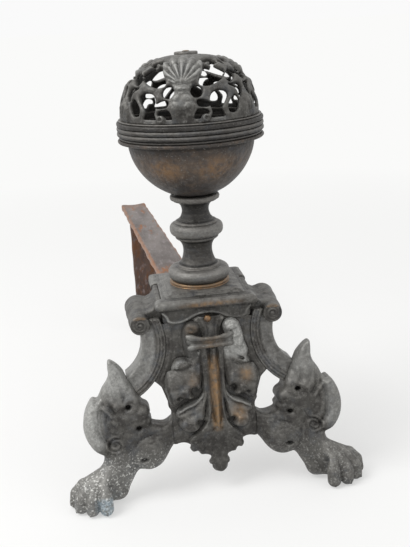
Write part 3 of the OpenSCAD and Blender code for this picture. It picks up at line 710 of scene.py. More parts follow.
STRAND_HALF = 3.0
strand_swell = 1.8 * rounded_off(ramp(to_hole, 0, STRAND_HALF))
shell_line = smooth_line([(0, 35.5), (8, 37), (17, 44), (24.5, 53), (25.5, 60),
                          (17, 68), (0, 70.5), (-17, 68), (-25.5, 60), (-24.5, 53),
                          (-17, 44), (-8, 37)], closed=True, parts=5)
in_shell = -outline_distance(around, rise, shell_line, squeeze) * MM_PER_RISE
FAN_FOOT = 35  # rise of the point from which the ribs spread
RIB_TURN = 17  # degrees from one rib to the next
fan_x = around * girth
fan_y = (rise - FAN_FOOT) * MM_PER_RISE
fan_far = np.hypot(fan_x, fan_y)
rib = np.abs(np.cos(np.arctan2(fan_x, fan_y) * math.pi / math.radians(RIB_TURN)))
shell_body = np.clip((in_shell - 0.9 * (1 - rib)) / 2.2, 0, 1)
shell_high = (1.6 + 2.6 * rib * ramp(fan_far, 0, 9) + 1.1 * bell(fan_far, 19, 2.6)
              - 1.2 * bell(fan_far, 23.5, 1.8))
relief = strand_swell + shell_body * shell_high
for middle, radii, height in (((0, 33), (8, 3.4), 3.0), ((0, 29.5), (5.5, 3), 2.0),
                              ((0, 20), (9, 8), 3.0), ((7, 13), (7, 7), 2.6),
                              ((0, 6), (3, 4), -2.6), ((5, 24), (4, 4), 1.6),
                              ((30, 31.5), (7, 4.5), 1.2), ((60, 14), (3.6, 9), 2.6),
                              ((57, 11), (3.2, 9), 2.6), ((53.5, 7), (3.0, 9), 2.6)):
    relief = relief + swelling(middle, radii, height)
for middle, radius, height in (((18, 5), 4.2, 2.2), ((33, 58), 3.6, 1.8),
                               ((52, 43), 3.4, 1.4)):
    relief = relief + curl(middle, radius, height)
relief = np.where(to_hole < 0, np.minimum(relief, 0), relief)
print("highest relief", round(float(relief.max()), 1), "mm")

# %% [markdown]
# The map is now wrapped round the dome. Each point of the clay asks for its place on the
# map, folded into the drawn sixth. A plain rail closes the foot, whatever the holes do,
# and the wall is some 4 mm thick. The two shells at the back are worn flatter.

# %% Clay of the dome
WALL = 4.6
RAIL_TOP, RAIL_MIDDLE, RAIL_HALF = 4.2, 1.2, 3.0


def azimuth(x, y):
    """Degrees round the dome from the middle of its front shell."""
    return np.degrees(np.arctan2(x, -y)) - DOME_TURN


def sixth(degrees_round):
    """The same place in the sixth that is drawn."""
    third = np.mod(degrees_round, 120)
    return np.minimum(third, 120 - third)


def on_map(table, degrees_round, degrees_up):
    return between(table, degrees_round / MAP_STEP, degrees_up / MAP_STEP)


dome = Clay((-71, -71, -1.5), (71, 71, 63), 0.75)
gx, gy, gz = dome.grid()
round_by = azimuth(gx, gy)
folded = sixth(round_by) + 0 * gz
out = np.hypot(gx, gy) - DOME_OUT
from_curve = np.where(out > 0, np.hypot(out, gz), gz)
rising = np.where(out > 0, np.degrees(np.arctan2(gz, np.maximum(out, 0.01))), 90)
hole_far = on_map(to_hole, folded, np.clip(rising, 0, 90))
hole_far = np.where(gz < RAIL_TOP,
                    np.maximum(hole_far, RAIL_HALF - np.abs(gz - RAIL_MIDDLE)), hole_far)
raised = on_map(relief, folded, np.clip(rising, 0, 90))
raised = raised * np.where(np.abs(np.mod(round_by + 180, 360) - 180) < 62, 1.0, 0.5)
set_in = 2.6 - 1.4 * ramp(rising, 0, 35)
outside = from_curve - (DOME_R - set_in + raised * (0.6 + 0.4 * ramp(rising, 0, 30)))
within = (DOME_R - WALL) - from_curve
sheet = -blended(-outside, -within, 1.2)
sheet = -blended(-sheet, hole_far, 1.4)
dome.field[:] = np.maximum(sheet, -gz)
print("clay of the dome:", dome.field.shape)

# %% Cast the dome
points, faces, marks = cast(dome, rounds=1)
points[:, 2] = np.maximum(points[:, 2], 0.05) + DOME_Z
x, y, z = points.T
tilt = np.degrees(np.arctan2(z - DOME_Z, np.maximum(np.hypot(x, y) - DOME_OUT, 0.01)))
folded = sixth(azimuth(x, y))
on_shell = on_map(np.clip(in_shell, 0, 1), folded, tilt)
on_stand = 0.8 * ramp(folded, 9, 8) * ramp(tilt, 13, 18)
on_shell = np.maximum(on_shell, on_stand)
# Chalky dust on the edges, most on the shells, and a painted highlight over the shells, which
# face the light.
marks["chalk_and_highlight"] = (0.2 + 0.8 * on_shell) * np.clip(marks["edge"], 0, 1) + 0.3 * on_shell
marks["soot_and_shade"] = 0.35 * (1 - on_shell)
finish_piece("pierced_dome", "lid", ["lid_dome"], patinated_bronze,
             points, faces, marks)

# %% [markdown]
# ## Drawing boards
# Legs, leaf and panel are reliefs: a carver saws the outline from a board and then works
# the front. The same is done here. A board holds a grid of x and z; on it an outline, and
# the height of the front over the board, are built from hills, ridges and grooves that
# follow drawn lines, and then softened a little, because a casting has no crisp corners
# left. The clay then reads its shape from the board.

# %% Drawing boards


class Board:
    def __init__(self, low, high, cell=0.5):
        self.low, self.cell = np.array(low, float), cell
        steps = [np.arange(a, b + cell, cell) for a, b in zip(low, high)]
        self.x, self.z = np.meshgrid(*steps, indexing="ij")
        self.height = np.zeros(self.x.shape)
        self.edge = np.full(self.x.shape, 1e3)

    def outline(self, points, parts):
        """Sawn outline; with one part between its points it keeps its corners."""
        line = smooth_line(points, closed=True, parts=parts)
        self.edge = np.minimum(self.edge, outline_distance(self.x, self.z, line))

    def from_line(self, points):
        """Distance to a smooth line, and how far along it the nearest point is."""
        line = smooth_line(points, parts=5)
        best = np.full(self.x.shape, 1e9)
        along = np.zeros(self.x.shape)
        for i, (a, b) in enumerate(zip(line[:-1], line[1:])):
            run = b - a
            t = np.clip(((self.x - a[0]) * run[0] + (self.z - a[1]) * run[1])
                        / max(run @ run, 1e-9), 0, 1)
            far = np.hypot(self.x - a[0] - t * run[0], self.z - a[1] - t * run[1])
            nearer = far < best
            best = np.where(nearer, far, best)
            along = np.where(nearer, (i + t) / (len(line) - 1), along)
        return best, along

    def ridge(self, points, half, height, taper=0.0):
        far, along = self.from_line(points)
        near = np.clip(1 - (far / (half * (1 - taper * along))) ** 2, 0, 1)
        self.height += height * near ** 0.8

    def groove(self, points, half, depth):
        self.height -= depth * bell(self.from_line(points)[0], 0, half)

    def hill(self, centre, radii, height, turn=0.0):
        """Round swelling; with a height below zero, a hollow."""
        c, s = math.cos(math.radians(turn)), math.sin(math.radians(turn))
        dx, dz = self.x - centre[0], self.z - centre[1]
        far = np.hypot((dx * c + dz * s) / radii[0], (dz * c - dx * s) / radii[1])
        self.height += height * np.clip(1 - far ** 2, 0, 1) ** 0.7

    def ring(self, centre, radius, half, height):
        far = np.hypot(self.x - centre[0], self.z - centre[1])
        self.height += height * bell(far, radius, half)

    def cushion(self, points, rise, half):
        """Lobe of a leaf: a closed outline that swells from its edge."""
        line = smooth_line(points, closed=True, parts=5)
        deep = -outline_distance(self.x, self.z, line)
        self.height = np.maximum(self.height, rise * rounded_off(ramp(deep, 0, half)))

    def soften(self, rounds):
        """Evens the heights with their neighbours, as fettling does to a casting."""
        for _ in range(rounds):
            for axis in (0, 1):
                table = self.height
                self.height = (np.roll(table, 1, axis) + 2 * table
                               + np.roll(table, -1, axis)) / 4

    def read(self, table, x, z):
        return between(table, (x - self.low[0]) / self.cell, (z - self.low[1]) / self.cell)


def relief_form(board, low, high, front, back, soft):
    """Plate with the board's outline, its front raised by the board's heights."""
    def distance(x, y, z):
        edge = board.read(board.edge, x, z)
        face = (front - board.read(board.height, x, z)) - y
        rear = y - back(z)
        slab = -blended(-face, -rear, 1.0)
        return -blended(-edge, -slab, soft)

    return distance, np.array(low, float), np.array(high, float)


print("boards ready")

# %% [markdown]
# ## The legs
# Each leg is one casting: a C-shaped shoulder with a rolled outer rim, a pointed horn and
# a second leaf point above, drilled eyes, a round pad below, and an ankle that ends in a
# lion's paw. The relief is drawn for the right leg. The paw does not lean with the rest,
# so its points are turned back into the board's upright space before they are added.

# %% Relief of the leg


def untipped(point):
    """Where a point of the finished front stood before it was leaned."""
    x, y, z = point
    y, z = y - FRONT_Y, z - HINGE_Z
    return (x, FRONT_Y + y * math.cos(LEAN) - z * math.sin(LEAN),
            HINGE_Z + y * math.sin(LEAN) + z * math.cos(LEAN))


SCROLL = (99.5, 60.5)  # button in the middle of the shoulder's scroll
leg = Board((36, -12), (154, 152))
leg.outline([(38, 55), (41, 53), (46, 47), (51, 39.5), (58, 33), (67, 29.8), (77, 31),
             (83, 31), (92, 26), (103, 34), (110.5, 42), (112.5, 49), (121.5, 57),
             (128, 70), (129.6, 83), (126.5, 95), (119.8, 105.5), (114, 105), (108.5, 115.5),
             (103, 124), (100.8, 131), (101, 138), (99.8, 145.5), (93.5, 142.5),
             (87, 135), (83, 124), (77, 113), (72, 105), (70.5, 99.5), (65, 95.5),
             (63.2, 90), (65.2, 85.5), (62.2, 81.5), (62.8, 77), (57, 74.5), (49, 74),
             (38, 79)], parts=4)
leg.height += 0.5 + 5.5 * rounded_off(ramp(-leg.edge, 0, 14))
# shoulder, upper lobe, lower pad and the neck between them
leg.hill((101, 78), (31, 32), 2.6)
leg.hill((84, 91), (19, 18), 3.2)
leg.hill((67.5, 47), (18.5, 17.5), 4.6)
leg.hill((90, 54), (9, 24), 2.0, 18)
# rolled outer rim, with the hollow that sets it off
leg.ridge([(119, 104), (123, 94), (124, 82), (121.5, 70), (115.5, 60)], 9.5, 3.8)
leg.groove([(110.5, 103), (112.8, 93), (113.6, 82), (111, 70), (104, 61)], 2.2, 2.2)
leg.ridge([(119.5, 105.5), (112, 101.5), (106, 97), (101.5, 91)], 2.6, 2.0, 0.5)
# scroll: one thin raised line that winds inward to a button
spin = np.radians(np.linspace(110, -520, 24))
wind = np.linspace(10.0, 2.6, 24)
leg.ridge(np.stack([SCROLL[0] + wind * np.cos(spin), SCROLL[1] + wind * np.sin(spin)], 1),
          1.3, 2.2)
leg.hill(SCROLL, (12, 12), -2.0)
# horn: a broad blade with one crest
leg.ridge([(99.3, 144), (97.3, 134), (94.5, 124), (93, 113), (94, 104)], 9.5, 3.0)
leg.groove([(97, 140), (92.5, 128), (89, 117), (88, 107)], 2.6, 2.4)
leg.groove([(104, 120), (105, 110), (103, 101), (98, 95)], 2.4, 1.6)
leg.groove([(80, 117), (85, 112), (88, 106)], 2.0, 1.0)
# drilled eyes, each in its socket
leg.hill((84.5, 98), (8.0, 5.5), -2.0, -25)
leg.hill((84.6, 98.2), (3.2, 2.5), -6.5)
leg.groove([(90, 99), (88, 92.5), (81, 91.5), (75, 95)], 1.4, 0.8)
leg.hill((68.5, 91), (7.0, 6.5), 1.8)
leg.hill((67.5, 80.5), (6, 4.5), 1.2)
leg.hill((76.0, 75.4), (5.5, 4.2), -1.6, -4)
leg.hill((76.0, 75.4), (2.9, 2.3), -5.5, -4)
leg.groove([(82, 84), (88, 79), (91, 71), (89, 62)], 2.4, 1.0)
leg.ring((102.5, 80.5), 4.6, 1.1, 0.9)
leg.groove([(85.5, 59), (87, 50), (84.5, 41), (82, 33)], 2.2, 1.5)
leg.ring((67.5, 46.5), 12.5, 1.0, -0.6)
leg.hill((73.2, 42.8), (4.2, 2.4), -5.0, -12)
leg.hill((73.2, 42.8), (7.5, 5), -1.2, -12)
for lift in (0, 4.2, 8.4):
    leg.groove([(42, 62 + lift), (50, 60.5 + lift), (59, 60.5 + lift), (66, 58 + lift)],
               0.8, 0.9)
# veins of the horn and the shoulder, cut as long curved strokes
for line in ([(99, 128), (100, 118), (98, 108), (93, 102)],
             [(110, 112), (109, 104), (105, 97), (98, 92)],
             [(117, 96), (117.5, 88), (116, 79), (112, 70)],
             [(106, 92), (107, 85), (105, 77), (100, 72)],
             [(60, 66), (67, 66), (75, 63), (81, 57)],
             [(58, 40), (63, 36.5), (70, 35), (77, 37.5)],
             [(94, 50), (97, 43), (98, 37), (96, 32)],
             [(101, 51), (104.5, 45), (105.5, 40), (104, 36)]):
    leg.groove(line, 1.1, 1.1)
leg.hill((70, 88.5), (3, 2.2), -1.6, 20)
# the casting thins towards the panel
free = ramp(leg.x, 41, 55)
leg.height = leg.height * (0.2 + 0.8 * free) - 1.8 * (1 - free)
leg.soften(3)
print("leg relief up to", round(float(leg.height[leg.edge < 0].max()), 1), "mm")

# %% Paw and ankle
PAW = np.array((125.0, -70.0, 0.0))
TOES = ((4, 0), (-30, 2.5), (-64, 5.5), (-96, 9))  # turn in degrees, and mm inward
CLEFTS = ((-13, 1.2), (-47, 4), (-80, 7.2))  # between the toes, measured as they are
ANKLE = (((-31, 11, 46), (-14, 5, 26), 13.5, 11.5), ((-14, 5, 26), (2, -1, 20), 11.5, 12.5),
         ((-35, 8, 34), (-24, 5, 12), 10.0, 8.5), ((-24, 5, 12), (-6, 2, 9), 8.5, 8.0))


def from_paw(x, y, z):
    return untipped(PAW + (x, y, z))


def rays(turns):
    """Two numbers for each turn: a step forward from the paw's middle is (c, s)."""
    for degrees_round, inward in turns:
        angle = math.radians(degrees_round)
        yield math.cos(angle), math.sin(angle), inward


def add_paw(clay):
    for start, end, thick, thin in ANKLE:
        clay.add(limb(from_paw(*start), from_paw(*end), thick, thin), 5)
    for c, s, inward in rays(TOES):
        root = from_paw(-16 + 5 * c, 4 + 5 * s, 38)
        knuckle, middle, tip, claw, point = (
            from_paw(out * c - inward, out * s, z)
            for out, z in ((10, 25), (17, 16), (18.6, 6.9), (22, 8), (24.6, 3.2)))
        clay.add(limb(root, knuckle, 3.0, 5.4), 2.0)
        clay.add(limb(knuckle, middle, 6.4, 6.9), 1.2)
        clay.add(limb(middle, tip, 6.9, 6.9), 0.8)
        clay.add(limb(claw, point, 2.4, 1.2), 0.8)
    for c, s, inward in rays(CLEFTS):
        top, brow, foot = (from_paw(out * c - inward, out * s, z)
                           for out, z in ((12, 34), (24, 20), (24.5, 1)))
        clay.cut(limb(top, brow, 0.4, 1.3), 1.2)
        clay.cut(limb(brow, foot, 1.3, 1.8), 1.2)
    clay.cut(ball(from_paw(-15, -10, 24), (3.5, 2.5, 3.5)), 3)


print("paw ready")

# %% [markdown]
# The leg is cut off where it meets the panel, and only a tab runs on behind it, where a
# screw would hold it. A casting that stands on the floor is filed flat underneath, so
# everything below the floor is cut away while the leg still leans.

# %% Clay of the legs
PANEL_SIDE = 42
TAB_MIDDLE, TAB_HALF = (39, -29, 60.5), (12, 2.8, 6)


def leg_back(z):
    """The horn is thicker than the rest, because it curls forward."""
    return -26 - 12 * ramp(z, 108, 138)


low, high = (20, -78, -10), (152, -22, 150)
clay = Clay(low, high, 0.75)
clay.add(relief_form(leg, low, high, FRONT_Y, leg_back, 4.0))
add_paw(clay)
gx, gy, gz = clay.grid()
tab = np.maximum(np.maximum(np.abs(gx - TAB_MIDDLE[0]) - TAB_HALF[0],
                            np.abs(gz - TAB_MIDDLE[2]) - TAB_HALF[2]),
                 np.abs(gy - TAB_MIDDLE[1]) - TAB_HALF[1])
clay.field[:] = np.minimum(np.maximum(clay.field, PANEL_SIDE - gx), tab)
over_floor = (HINGE_Z - (gy - FRONT_Y) * math.sin(LEAN)
              + (gz - HINGE_Z) * math.cos(LEAN))
clay.field[:] = np.maximum(clay.field, -over_floor)
print("clay of the leg:", clay.field.shape)

# %% [markdown]
# Both legs come from one pattern, but they have aged apart. The left one stood in the
# damp: its foot is spattered with lime, its rim and horn are chalky, and one toe is blue
# with verdigris. The right one is darker, and its shoulder sags by 4 mm.

# %% Cast the legs
SAG = 4
points, faces, marks = cast(clay)
standing = tipped(points)
standing[:, 2] = np.maximum(standing[:, 2], 0.0)
x, y, z = standing.T
ankle = ramp(z, 60, 36)
rim = ramp(x, 108, 116) * ramp(z, 54, 70)
horn = ramp(z, 104, 124)
toes = ramp(z, 21, 17) * ramp(y, -74, -80)
under = 0.7 * ramp(z, 7, 3)
lobe = 0.32 * ramp(x, 108, 98) * ramp(z, 106, 96) * ramp(z, 24, 34)
sagging = SAG * ramp(x, 90, 105) * bell(z, 76, 24)
for side, name, chalk_and_highlight, lime, frost, sag in (
        (-1, "leg_left", (0.35, 1.0, 0.95), (0.85, 0.35, 0.2), 1.0, 0),
        (1, "leg_right", (0.08, 0.4, 0.5), (0.25, 0.1, 0.05), 0.0, sagging)):
    worn = dict(marks)
    worn["chalk_and_highlight"] = ankle * chalk_and_highlight[0] + rim * chalk_and_highlight[1] + horn * chalk_and_highlight[2]
    worn["lime"] = ankle * lime[0] + rim * lime[1] + horn * lime[2]
    worn["frost"] = toes * ramp(x, 126, 120) * frost
    worn["soot_and_shade"] = np.maximum(under, lobe)
    where, quads = on_side(side, np.stack([x, y, z - sag], 1), faces)
    finish_piece("lion_" + name, "stand", [name], patinated_bronze,
                 where, quads, worn)

# %% [markdown]
# ## The acanthus leaf
# The leaf hangs from the strap. Its stalks run down beside the midrib and turn outward
# into two pairs of lobes. A carver drills the eyes where lobes meet, which gives the deep
# round shadows, and scoops each lobe so that its lower edge rolls forward. Only the right
# half is drawn on the boards. The left half mirrors it, and the plumes behind the strap,
# which differ from side to side, are added in clay.

# %% Relief of the upper lobes
upper = Board((-2, 84), (56, 182))
upper_edge = [(9, 150), (16, 147), (22, 139), (28, 141.5), (35, 139.5), (38.8, 133),
              (39.5, 129), (43.5, 127.5), (47, 119), (47.2, 110), (45.6, 105),
              (44.8, 99), (42, 93.6), (37.6, 92.4), (34, 95), (31, 98.6), (27, 99.8),
              (23, 99), (20.4, 99.6), (19.5, 101.5), (22.4, 104.5), (22, 108.5), (18.2, 109.8),
              (15, 107), (12.5, 113), (10.5, 127)]
upper.cushion(upper_edge, 1.0, 5.5)
upper_in = upper.height > 0.002
fall = np.interp(upper.z, (90, 97, 106, 118, 130, 142, 150),
                 (12.0, 14.0, 13.5, 10.5, 8.0, 5.5, 4.5))
upper.height = upper.height * fall
upper.hill((29, 112), (17, 16), 1.8)
upper.hill((30, 135), (9, 6), 2.0)
upper.groove([(16, 141), (21, 133), (28, 129.5), (38, 129.5)], 1.7, 1.1)
upper.groove([(26, 117), (32, 113), (39, 111), (46, 110.5)], 2.2, 0.9)
upper.ridge([(26, 98.5), (23.6, 103), (25, 108), (30, 109.5)], 1.8, 1.6)
upper.groove([(33, 103), (36, 99), (38, 94)], 1.8, 1.4)
upper.hill((34, 102), (3.4, 2.4), -3.2, 20)
upper.ridge([(12.5, 147), (16.5, 137), (19, 127), (18, 117)], 2.4, 1.3)
upper.height = np.where(upper_in, upper.height, 0)
upper.soften(2)
print("upper lobes up to", round(float(upper.height.max()), 1), "mm")

# %% Relief of the lower lobes
lower = Board((-2, 56), (56, 124))
lower_edge = [(8, 118), (11, 108), (14.5, 100), (19, 96.5), (25, 95), (31, 92), (36.5, 88),
              (38.4, 82), (35.6, 78), (36.4, 72.5), (32.4, 67), (26.5, 64.2), (21, 65.2),
              (17.6, 67), (16.6, 70), (18.5, 72.8), (17.4, 75.6), (13.8, 75.2), (11.6, 79),
              (9.5, 90)]
lower.cushion(lower_edge, 1.0, 5.0)
lower_in = lower.height > 0.002
lower.height = lower.height * np.interp(lower.z, (64, 70, 78, 88, 96, 110),
                                        (11.5, 12.0, 11.0, 7.5, 4.5, 4.0))
lower.hill((27, 75), (9, 8), 1.2)
lower.ridge([(10.5, 110), (13.5, 100), (19, 94), (28, 91), (36, 87)], 2.6, 2.4)
lower.groove([(14, 96), (20, 89.5), (28, 87), (35, 84)], 1.8, 1.4)
lower.groove([(22, 83), (29, 80), (37.5, 78)], 1.8, 1.6)
lower.ridge([(22, 65.5), (20.6, 70), (22, 75), (27, 76)], 1.8, 1.4)
lower.height = np.where(lower_in, lower.height, 0)
lower.soften(2)
print("lower lobes up to", round(float(lower.height.max()), 1), "mm")

# %% Relief of the midrib, neck and pendant
stalks = Board((-2, 10), (56, 182))
stalks.cushion([(-6, 178), (15, 178), (12, 171), (9.6, 164), (9, 158), (10.5, 150),
                (11, 138), (10.6, 120), (9.6, 100), (10.5, 84), (13, 74), (-6, 70)], 5.0, 4)
for line, half, height in (
        ([(13, 149), (12.6, 137), (13, 125), (15.5, 114)], 3.2, 5.0),
        ([(9.6, 150), (9.4, 132), (9.2, 114), (9.8, 100), (13, 90)], 3.4, 6.5),
        ([(6.6, 150), (6.4, 128), (6.4, 104), (6.6, 84), (9.5, 72), (15, 65)], 2.6, 6.8)):
    far, along = stalks.from_line(line)
    stem = height * np.sqrt(np.clip(1 - (far / (half * (1 - 0.25 * along))) ** 2, 0, 1))
    stalks.height = np.maximum(stalks.height, stem)
stalks.cushion([(-6, 72), (9, 72), (17, 65), (24, 60), (28.4, 55.5), (26.8, 50.8),
                (27.6, 46), (24.6, 42), (20.4, 42.6), (18.0, 38.6), (14, 38.4),
                (10.6, 37.2), (8.6, 35), (10.6, 31.6), (10.4, 27.8), (7.0, 26.2),
                (6.4, 22.4), (3.4, 19.6), (0, 18.4), (-6, 18.4)], 6.0, 3.4)
stalks.hill((0, 60), (17, 17), 2.2)
stalks.hill((0, 26), (9, 9), 2.0)
for tip in ((26, 49), (18.5, 40), (11, 32)):
    stalks.groove([(4, 66), (tip[0] * 0.6, (tip[1] + 60) / 2), tip], 1.4, 0.9)
keel_half = np.interp(stalks.z, (64, 75, 100, 122, 138, 150), (1.6, 3.4, 5.4, 6.0, 3.8, 3.0))
keel = np.clip(1 - np.abs(stalks.x) / keel_half, 0, 1)
crest = np.interp(stalks.z, (64, 78, 100, 150), (9, 12, 13.5, 11.5))
on_keel = (stalks.z > 64) & (stalks.z < 150) & (keel > 0)
stalks.height = np.where(on_keel, np.maximum(stalks.height, 7.5 + (crest - 7.5) * keel ** 0.8),
                         stalks.height)
for x in (3.6, 7.4):
    stalks.groove([(x * 1.5, 177), (x, 166), (x, 160)], 1.2, 1.4)
stalk_in = stalks.height > 0.01
stalks.soften(2)
print("midrib relief up to", round(float(stalks.height.max()), 1), "mm")

# %% Half reliefs
PANEL_FRONT = FRONT_Y + 2
DRIFT = 3.0  # the carver's middle line lies this far to the right


def nudged(points):
    """The reliefs with their middle line moved over, and their sides where they were."""
    moved = points.copy()
    moved[:, 0] += DRIFT * np.clip(1 - np.abs(points[:, 0]) / 42, 0, 1) ** 1.5
    return moved


def cast_relief(board, inside, low, high, extra=None):
    """Clay for both halves of a relief that is drawn for the right half."""
    board.height = np.where(inside, board.height, -3)
    clay = Clay(low, high, 0.65)

    def distance(x, y, z):
        return PANEL_FRONT - board.read(board.height, np.abs(x), z) - y

    clay.add((distance, np.array(low), np.array(high)))
    if extra:
        extra(clay)
    behind = clay.grid()[1] - PANEL_FRONT
    clay.field = np.maximum(clay.field, behind.astype(np.float32))
    return cast(clay)


def lobe_crest_highlight(x, z, at_z, at_x, half):
    """Painted highlight along the line where a lobe of the leaf turns over, falling away to the
    side.
    """
    return bell(z, at_z - 0.5 * (np.abs(x) - at_x), half) * (np.abs(x) > 10)


print("half reliefs ready")

# %% Cast the upper lobes
RIGHT_PLUME = ((21.5, -45, 168, (9, 8.5, 8)), (24.5, -45, 159, (9, 8, 10)),
               (24, -45.5, 149, (11, 7.5, 10)), (28, -45.5, 141, (10, 6.5, 8)))
LEFT_PLUME = ((-17, -45, 169, (7.5, 7, 7)), (-20, -44.5, 162, (7.5, 6, 8)),
              (-19, -44, 152, (7.5, 5, 7)), (-18, -44, 143, (7, 5, 7)))
PLUME_VEINS = (((12, 167), (29, 176)), ((16, 162), (34, 167)), ((16, 156), (36, 156)),
               ((16, 149), (34, 145)), ((15, 143), (31, 135)),
               ((-12, 165), (-24, 171)), ((-14, 157), (-28, 158)))


def plumes(clay):
    """Two leafy plumes behind the strap; the right one is whole, the left one is worn."""
    for x, y, z, radii in RIGHT_PLUME + LEFT_PLUME:
        clay.add(ball((x, y, z), radii), 4)
    for a, b in PLUME_VEINS:
        clay.cut(limb((a[0], -53.5, a[1]), (b[0], -51.5, b[1]), 0.8, 1.6), 1.5)


points, faces, marks = cast_relief(upper, upper_in, (-50, -64, 86), (50, -43.5, 182), plumes)
x, _, z = points.T
tall = ramp(z, 135, 140)
marks["chalk_and_highlight"] = np.where(x > 0, 0.9, 0.1) * tall
marks["lime"] = np.where(x > 0, 0.5, 0.0) * ramp(z, 138, 146)
# Painted highlight where the upper lobes turn over near their top.
crest = 0.75 * lobe_crest_highlight(x, z, 140, 22, 3) * (marks["edge"] > 0)
marks["chalk_and_highlight"] = np.maximum(marks["chalk_and_highlight"], crest)
marks["edge"] = marks["edge"] * 0.55
# Painted shade on the left plume, which stands partly in shadow, and on the lobes, strongest
# towards their curled lower edge.
marks["soot_and_shade"] = np.maximum(np.where(x > 0, 0, 0.8) * tall,
                           np.interp(z, (105, 118, 130, 138), (0.4, 0.2, 0.25, 0)))
marks["wear"] = (0.8 * spot(x, z, (33, 120), 32) + 0.5 * spot(x, z, (-18, 168), 20)
                 + 0.3 * spot(x, z, (-20, 118), 40))
finish_piece("leaf_upper_lobes", "stand", ["leaf_upper"],
             patinated_bronze, tipped(nudged(points)), faces, marks)

# %% Cast the lower lobes
points, faces, marks = cast_relief(lower, lower_in, (-42, -60, 60), (42, -43.5, 120))
x, _, z = points.T
marks["edge"] = marks["edge"] * 0.6
marks["wear"] = 0.7 * spot(x, z, (23, 80), 50)
# Painted highlight where the lower lobes turn over.
marks["chalk_and_highlight"] = 0.6 * lobe_crest_highlight(x, z, 97, 16, 2.5) * (marks["edge"] > 0)
finish_piece("leaf_lower_lobes", "stand", ["leaf_lower"],
             patinated_bronze, tipped(nudged(points)), faces, marks)

# %% Cast the midrib and the pendant
points, faces, marks = cast_relief(stalks, stalk_in, (-34, -62, 14), (34, -43.5, 180))
x, _, z = points.T
marks["wear"] = np.exp(-(x / 5.0) ** 4) * ramp(z, 62, 70) * ramp(z, 144, 132)
marks["soot_and_shade"] = 0.6 * ramp(z, 66, 56)
finish_piece("midrib_and_pendant", "stand", ["leaf_midrib"],
             patinated_bronze, tipped(nudged(points)), faces, marks)

# %% [markdown]
# ## The turned parts
# Bowl, baluster and belt were turned on a lathe, so each is half a section spun round its
# axis. Blender's screw modifier would do the same, but wouldn't tell the finish how the
# section bends: outward where an edge catches dust, inward where soot stays in a hollow.
# A lathe leaves true circles; long use doesn't, so the radius wavers by a few tenths of a
# millimetre.

# %% Sections


def section(points):
    """Half section: a point with a third number above zero is a sharp corner."""
    runs, run = [], []
    for p in points:
        run.append(p[:2])
        if len(p) > 2:
            runs.append(run)
            run = [p[:2]]
    runs.append(run)
    lines = [smooth_line(r, parts=5) if len(r) > 1 else np.array(r, float) for r in runs]
    return np.concatenate([part[:-1] for part in lines[:-1]] + [lines[-1]])


def even(line, step):
    """The same line with points at even distances."""
    far = np.concatenate([[0], np.cumsum(np.hypot(*np.diff(line, axis=0).T))])
    spots = np.linspace(0, far[-1], max(int(far[-1] / step), 4))
    return np.stack([np.interp(spots, far, line[:, i]) for i in (0, 1)], 1)


def bend_of(line, step):
    """How a section turns at each point: above zero where it bulges outward."""
    bend = np.zeros(len(line))
    for reach in (2, 4):
        ahead, back = np.roll(line, -reach, 0), np.roll(line, reach, 0)
        mid = (ahead + back) / 2 - line
        run = ahead - back
        side = run[:, 0] * mid[:, 1] - run[:, 1] * mid[:, 0]
        here = side / np.maximum(np.hypot(*run.T), 1e-6) / step
        here[:reach] = here[-reach:] = 0
        bend += here
    return bend


print("sections ready")

# %% Turning


def turned(name, body, node, finish, points, waver, step, spots, more=None):
    """Spins a section; more gives further marks from the turn and the height."""
    line = even(section(points), step)
    count = len(line)
    r, z = line.T
    wide = r.max()
    bend = bend_of(line, step)
    turn = np.linspace(0, 2 * math.pi, spots, endpoint=False)
    t, rr = np.meshgrid(turn, r, indexing="ij")
    zz = z + 0 * t
    off = waver * (0.5 * np.sin(2 * t + 0.09 * zz) + 0.3 * np.sin(5 * t - 0.13 * zz + 1)
                   + 0.2 * np.sin(11 * t + 0.3 * zz)) * np.clip(rr / wide, 0, 1)
    rr = np.minimum(rr + off - 0.2 * waver, wide)
    points = np.stack([rr * np.sin(t), -rr * np.cos(t), zz], 2).reshape(-1, 3)
    i, j = np.meshgrid(np.arange(spots), np.arange(count - 1), indexing="ij")
    near, far = i * count + j, ((i + 1) % spots) * count + j
    faces = np.stack([near, far, far + 1, near + 1], 2).reshape(-1, 4)
    marks = {"edge": np.tile(bend * 0.8 - 0.1, spots),
             "hollow": np.tile(-bend * 1.3 - 0.1, spots)}
    if more:
        marks.update({mark: (value + 0 * t).ravel() for mark, value in more(t, zz).items()})
    finish_piece(name, body, [node], finish, points, faces, marks)


print("lathe ready")

# %% [markdown]
# The belt's three rolls catch the light on their crowns, and painted shade fills the grooves
# between them. The plate on top is held by one rivet, whose head has been rubbed bright.

# %% Belt, crown plate and rivet
BELT_CROWNS = (350.9, 355.8, 360.6, 367.7)
BELT_GROOVE_SHADE = ((350.4, 0.8), (351.2, 0.1), (352, 0.8), (354.6, 0.8), (355.6, 0.1),
             (356.6, 0.1), (358, 0.7), (359.4, 0.6), (360.2, 0.1), (361.2, 0.1), (362, 0.8),
             (366.4, 0.8), (367.4, 0))

